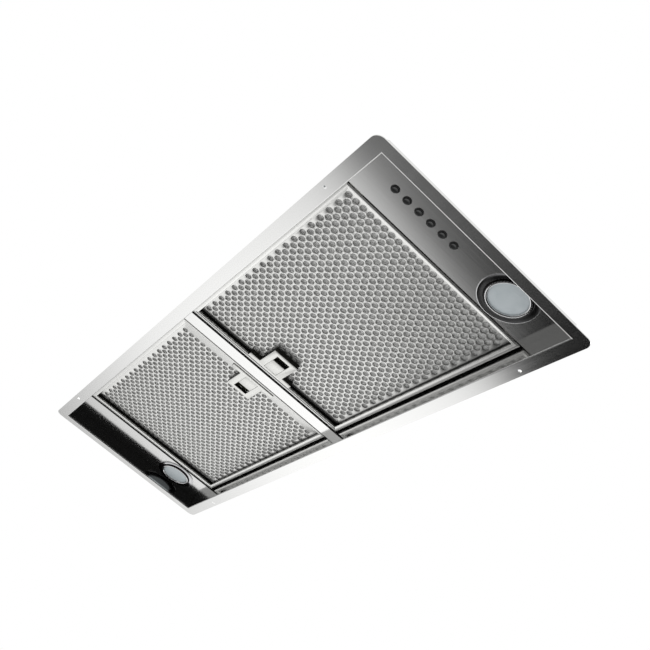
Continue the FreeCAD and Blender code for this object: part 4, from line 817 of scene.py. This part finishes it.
frosted_glass = surface(
    frost, Base_Color=tint(frost, cloudy, (0.36, 0.41, 0.43), (0.52, 0.56, 0.58)),
    Roughness=grainy * 0.2 + 0.35, Coat_Weight=0.35, Coat_Roughness=0.25,
    bump=(grainy, 0.00006))
PANEL_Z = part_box("lamp_bezel_near")[1].z - 5.5 * MM
trim_profile = [(radius, drop, notch) for radius, drop, notch in (
    (34.0, 0.0, 0), (34.0, -0.5, 0), (33.85, -0.72, 0), (33.5, -0.86, 0), (33.1, -0.86, 0),
    (32.5, -0.78, 0), (31.0, -0.64, 0), (29.5, -0.6, 0), (28.2, -0.58, 0), (27.2, -0.57, 0),
    (26.8, -0.56, 0), (26.6, -0.5, 0), (26.4, -0.2, 0), (26.2, 0.3, 0), (25.5, 0.3, 0),
    (25.1, -1.2, 0.75), (24.9, -2.0, 0.75), (24.6, -2.4, 0.3), (24.1, -2.7, 0),
    (23.5, -2.86, 0), (22.9, -2.78, 0), (22.4, -2.5, 0), (22.0, -2.0, 0),
    (22.0, 1.0, 0), (28.3, 1.0, 0), (28.3, 5.5, 0), (29.5, 5.5, 0), (29.5, 0.0, 0))]
TEETH, PER_TOOTH = 46, 6


def trim_ring(centre, base):
    """The turned trim ring, with teeth round the wall of its inner groove."""
    form = bmesh.new()
    loops = []
    for step in range(TEETH * PER_TOOTH):
        angle = 2 * math.pi * step / (TEETH * PER_TOOTH)
        tooth = 1 if step % PER_TOOTH in (1, 2, 3) else 0
        loops.append([form.verts.new((
            centre.x + (radius + notch * tooth) * MM * math.cos(angle),
            centre.y + (radius + notch * tooth) * MM * math.sin(angle),
            base + drop * MM)) for radius, drop, notch in trim_profile])
    for here, there in zip(loops, loops[1:] + loops[:1]):
        for step in range(len(trim_profile)):
            after = (step + 1) % len(trim_profile)
            form.faces.new((here[step], here[after], there[after], there[step]))
    return tidy_mesh(form, "trim", 40)


low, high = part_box("lamp_bezel_near")
trim = trim_ring((low + high) / 2, PANEL_Z)
piece("lamp_trim_near", trim, lamp_chrome, "hood", frame_slot("lamp_bezel_near"),
      "lamp_bezel_near")
piece("lamp_trim_far", flipped(trim), lamp_chrome, "hood", frame_slot("lamp_bezel_far"),
      "lamp_bezel_far")
wear(frosted_glass, "lamp_lens_near", "lamp_lens_far")
spun = finish("spun_aluminium")
place = spun.node("ShaderNodeTexCoord", output="Object")
turned_lines = noise(spun, place, 1.0, 3.0, (60, 60, 1500))
spun_aluminium = surface(
    spun, Base_Color=tint(spun, turned_lines, (0.62, 0.62, 0.62), (0.78, 0.78, 0.78)),
    Metallic=1.0, Roughness=turned_lines * 0.15 + 0.25, bump=(turned_lines, 0.00003))
wear(spun_aluminium, "lamp_cans", "lamp_reflectors", "capacitor")
clip_steel = brushed_steel("clip_steel", (0.6, 0.6, 0.6), "x", 0.3)
wear(clip_steel, "lamp_clips")


# ---------------------------------------------------------------- controls
# Six push buttons stand in the control panel, each in a black collar of the
# moulded carrier, with its switch on a board behind. A flat box holds the power board.
def moulded(name, dark, light, roughness, relief=0.00004, scale=1400.0):
    """Plastic with a fine moulded grain."""
    bench = finish(name)
    place = bench.node("ShaderNodeTexCoord", output="Object")
    grain = noise(bench, place, scale, 3.0)
    return surface(bench, Base_Color=tint(bench, grain, dark, light),
                   Roughness=grain * 0.15 + (roughness - 0.07), bump=(grain, relief))


black_plastic = moulded("black_plastic", (0.008, 0.008, 0.009), (0.02, 0.02, 0.02), 0.42)
cap_grey = moulded("button_grey", (0.012, 0.013, 0.013), (0.02, 0.021, 0.021), 0.26, 0.00001)
white_plastic = moulded("white_plastic", (0.72, 0.72, 0.69), (0.8, 0.8, 0.77), 0.45)
laminate = moulded("green_laminate", (0.012, 0.12, 0.04), (0.03, 0.2, 0.08), 0.4)
eased("button_carrier", black_plastic, "hood", "black_plastic", 0.25 * MM)
for number in range(1, 7):
    low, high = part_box(f"button_{number}")
    form = bmesh.new()
    outline = [(0.0, -0.72), (1.3, -0.78), (2.3, -1.0), (2.85, -1.26), (3.15, -1.3),
               (3.45, -1.2), (3.66, -0.9), (3.7, -0.5)]
    top = (high.z - PANEL_Z) / MM
    outline += [(3.7, 3.3), (4.8, 3.3), (4.8, 4.8), (2.8, 4.8), (2.8, top - 2.4),
                (1.7, top - 2.4), (1.7, top), (0.0, top)]
    spine = [form.verts.new(((low.x + high.x) / 2 + radius * MM, (low.y + high.y) / 2,
                             PANEL_Z + drop * MM)) for radius, drop in outline]
    for first, second in zip(spine, spine[1:]):
        form.edges.new((first, second))
    bmesh.ops.spin(form, geom=form.verts[:] + form.edges[:], angle=2 * math.pi, steps=48,
                   cent=((low.x + high.x) / 2, (low.y + high.y) / 2, 0), axis=(0, 0, 1))
    piece(f"button_cap_{number}", tidy_mesh(form, "cap", 40), cap_grey, f"button_{number}",
          "button_cap", f"button_{number}")
wear(black_plastic, "push_switches")
wear(laminate, "switch_board", "power_board")
wear(white_plastic, "lamp_modules", "inner_leads")
eased("control_box", black_plastic, "hood", "black_plastic", 0.6 * MM)


# ---------------------------------------------------------------- tray roof, chamber, collar
# Above the cabinet panel everything is zinc-coated sheet with a faint spangle: the
# tray roof, the motor chamber with its service cover, the blower and the duct collar.
zinc = finish("zinc_sheet")
place = zinc.node("ShaderNodeTexCoord", output="Object")
spangle = zinc.node("ShaderNodeTexVoronoi", {"Vector": place, "Scale": 75.0}, output="Color")
flake = zinc.node("ShaderNodeSeparateColor", {0: spangle})
smoke = noise(zinc, place, 14.0, 3.0)
shade = flake * 0.55 + smoke * 0.45
zinc_sheet = surface(zinc, Base_Color=tint(zinc, shade, (0.4, 0.42, 0.43), (0.62, 0.63, 0.64)),
                     Metallic=1.0, Roughness=flake * 0.16 + 0.3, bump=(smoke, 0.00008))
wear(zinc_sheet, "tray_roof", "motor_chamber", "service_cover", "scroll_wall",
     "scroll_side_left", "scroll_side_right", "motor_bracket", "collar_ring",
     "duct_collar", "flap_front", "flap_rear")
wheel_plastic = moulded("wheel_plastic", (0.01, 0.01, 0.011), (0.025, 0.025, 0.025), 0.35)
wear(wheel_plastic, "impeller", "wheel_rings")
motor_steel = brushed_steel("motor_steel", (0.5, 0.5, 0.5), "x", 0.32)
wear(motor_steel, "motor", "motor_bearings", "motor_shaft", "flap_pin")
eased("terminal_box", black_plastic, "hood", "black_plastic", 0.7 * MM, 3)
eased("terminal_lid", black_plastic, "hood", "black_plastic", 0.8 * MM, 3)
eased("cable_gland", black_plastic, "hood", "black_plastic", 0.5 * MM)


# ---------------------------------------------------------------- screws
# Pan-head screws of plated steel hold the roof, the cover, the ring of the collar,
# the motor and its bracket, and pop rivets hold the end panels.
screw_steel = brushed_steel("screw_steel", (0.7, 0.7, 0.7), "x", 0.28)


AROUND_SCREW = 24
DOME = ((1.0, 0.35), (0.93, 0.62), (0.78, 0.84), (0.62, 0.95))
ARM_REACH, CORNER_REACH = 0.5, 0.16
RECESS_FLOOR = 0.45


def separate_shells(form):
    """The vertices of each closed shell of a form, in the form's own order."""
    found, shells = set(), []
    for seed in form.verts:
        if seed in found:
            continue
        found.add(seed)
        shell = [seed]
        for vert in shell:
            for side in vert.link_edges:
                other = side.other_vert(vert)
                if other not in found:
                    found.add(other)
                    shell.append(other)
        shells.append(shell)
    return shells


def screw_heads():
    """The screws of the CAD node, each head domed and with a crossed recess."""
    form = bmesh.new()
    form.from_mesh(nodes["screws"].data)
    bmesh.ops.remove_doubles(form, verts=form.verts, dist=0.00001)
    whole = bmesh.new()
    for shell in separate_shells(form):
        points = [vert.co.copy() for vert in shell]
        low = Vector(min(point[k] for point in points) for k in range(3))
        high = Vector(max(point[k] for point in points) for k in range(3))
        span, middle = high - low, (low + high) / 2
        axis = max(range(3), key=lambda k: abs(span[k] - span[(k + 1) % 3])
                   + abs(span[k] - span[(k + 2) % 3]))
        reach = [max(abs((point - middle)[k]) for k in range(3) if k != axis)
                 for point in points]
        wide = max(reach)
        head = [point for point, far in zip(points, reach) if far > 0.9 * wide]
        slim = max([far for far in reach if far < 0.9 * wide] or [wide])
        sign = 1 if sum(point[axis] for point in head) / len(head) > middle[axis] else -1
        tip, crown = (low[axis], high[axis]) if sign > 0 else (high[axis], low[axis])
        seat = min((point[axis] for point in head), key=lambda value: sign * value)
        screw_form(whole, middle, axis, tip, seat, crown, slim, wide)
    form.free()
    return whole


def screw_form(whole, middle, axis, tip, seat, crown, slim, wide):
    """One screw: shank, domed head, and a cross sunk into the dome."""
    thick = crown - seat
    taper = math.copysign(0.4 * MM, thick)
    u, v = [k for k in range(3) if k != axis]

    def loop(height, radii):
        """A ring of vertices round the screw's axis."""
        ring = []
        for step in range(AROUND_SCREW):
            angle = 2 * math.pi * step / AROUND_SCREW
            spot = Vector((0, 0, 0))
            spot[axis] = height
            spot[u] = middle[u] + radii(step) * math.cos(angle)
            spot[v] = middle[v] + radii(step) * math.sin(angle)
            ring.append(whole.verts.new(spot))
        return ring

    def cross(step):
        """The recess's outline, which has four arms."""
        return (ARM_REACH if step % 6 in (5, 0, 1) else CORNER_REACH) * wide

    loops = [loop(height, lambda step, radius=radius: radius) for radius, height in [
        (0.72 * slim, tip), (slim, tip + taper), (slim, seat), (wide, seat)] + [
        (share * wide, seat + rise * thick) for share, rise in DOME]]
    loops += [loop(crown, cross), loop(seat + RECESS_FLOOR * thick, cross)]
    for lower, upper in zip(loops, loops[1:]):
        for step in range(AROUND_SCREW):
            after = (step + 1) % AROUND_SCREW
            whole.faces.new((lower[step], lower[after], upper[after], upper[step]))
    whole.faces.new(loops[0])
    whole.faces.new(loops[-1])


piece("screw_heads", tidy_mesh(screw_heads(), "screws", 32), screw_steel, "hood",
      frame_slot("screws"), "screws")

low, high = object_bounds()
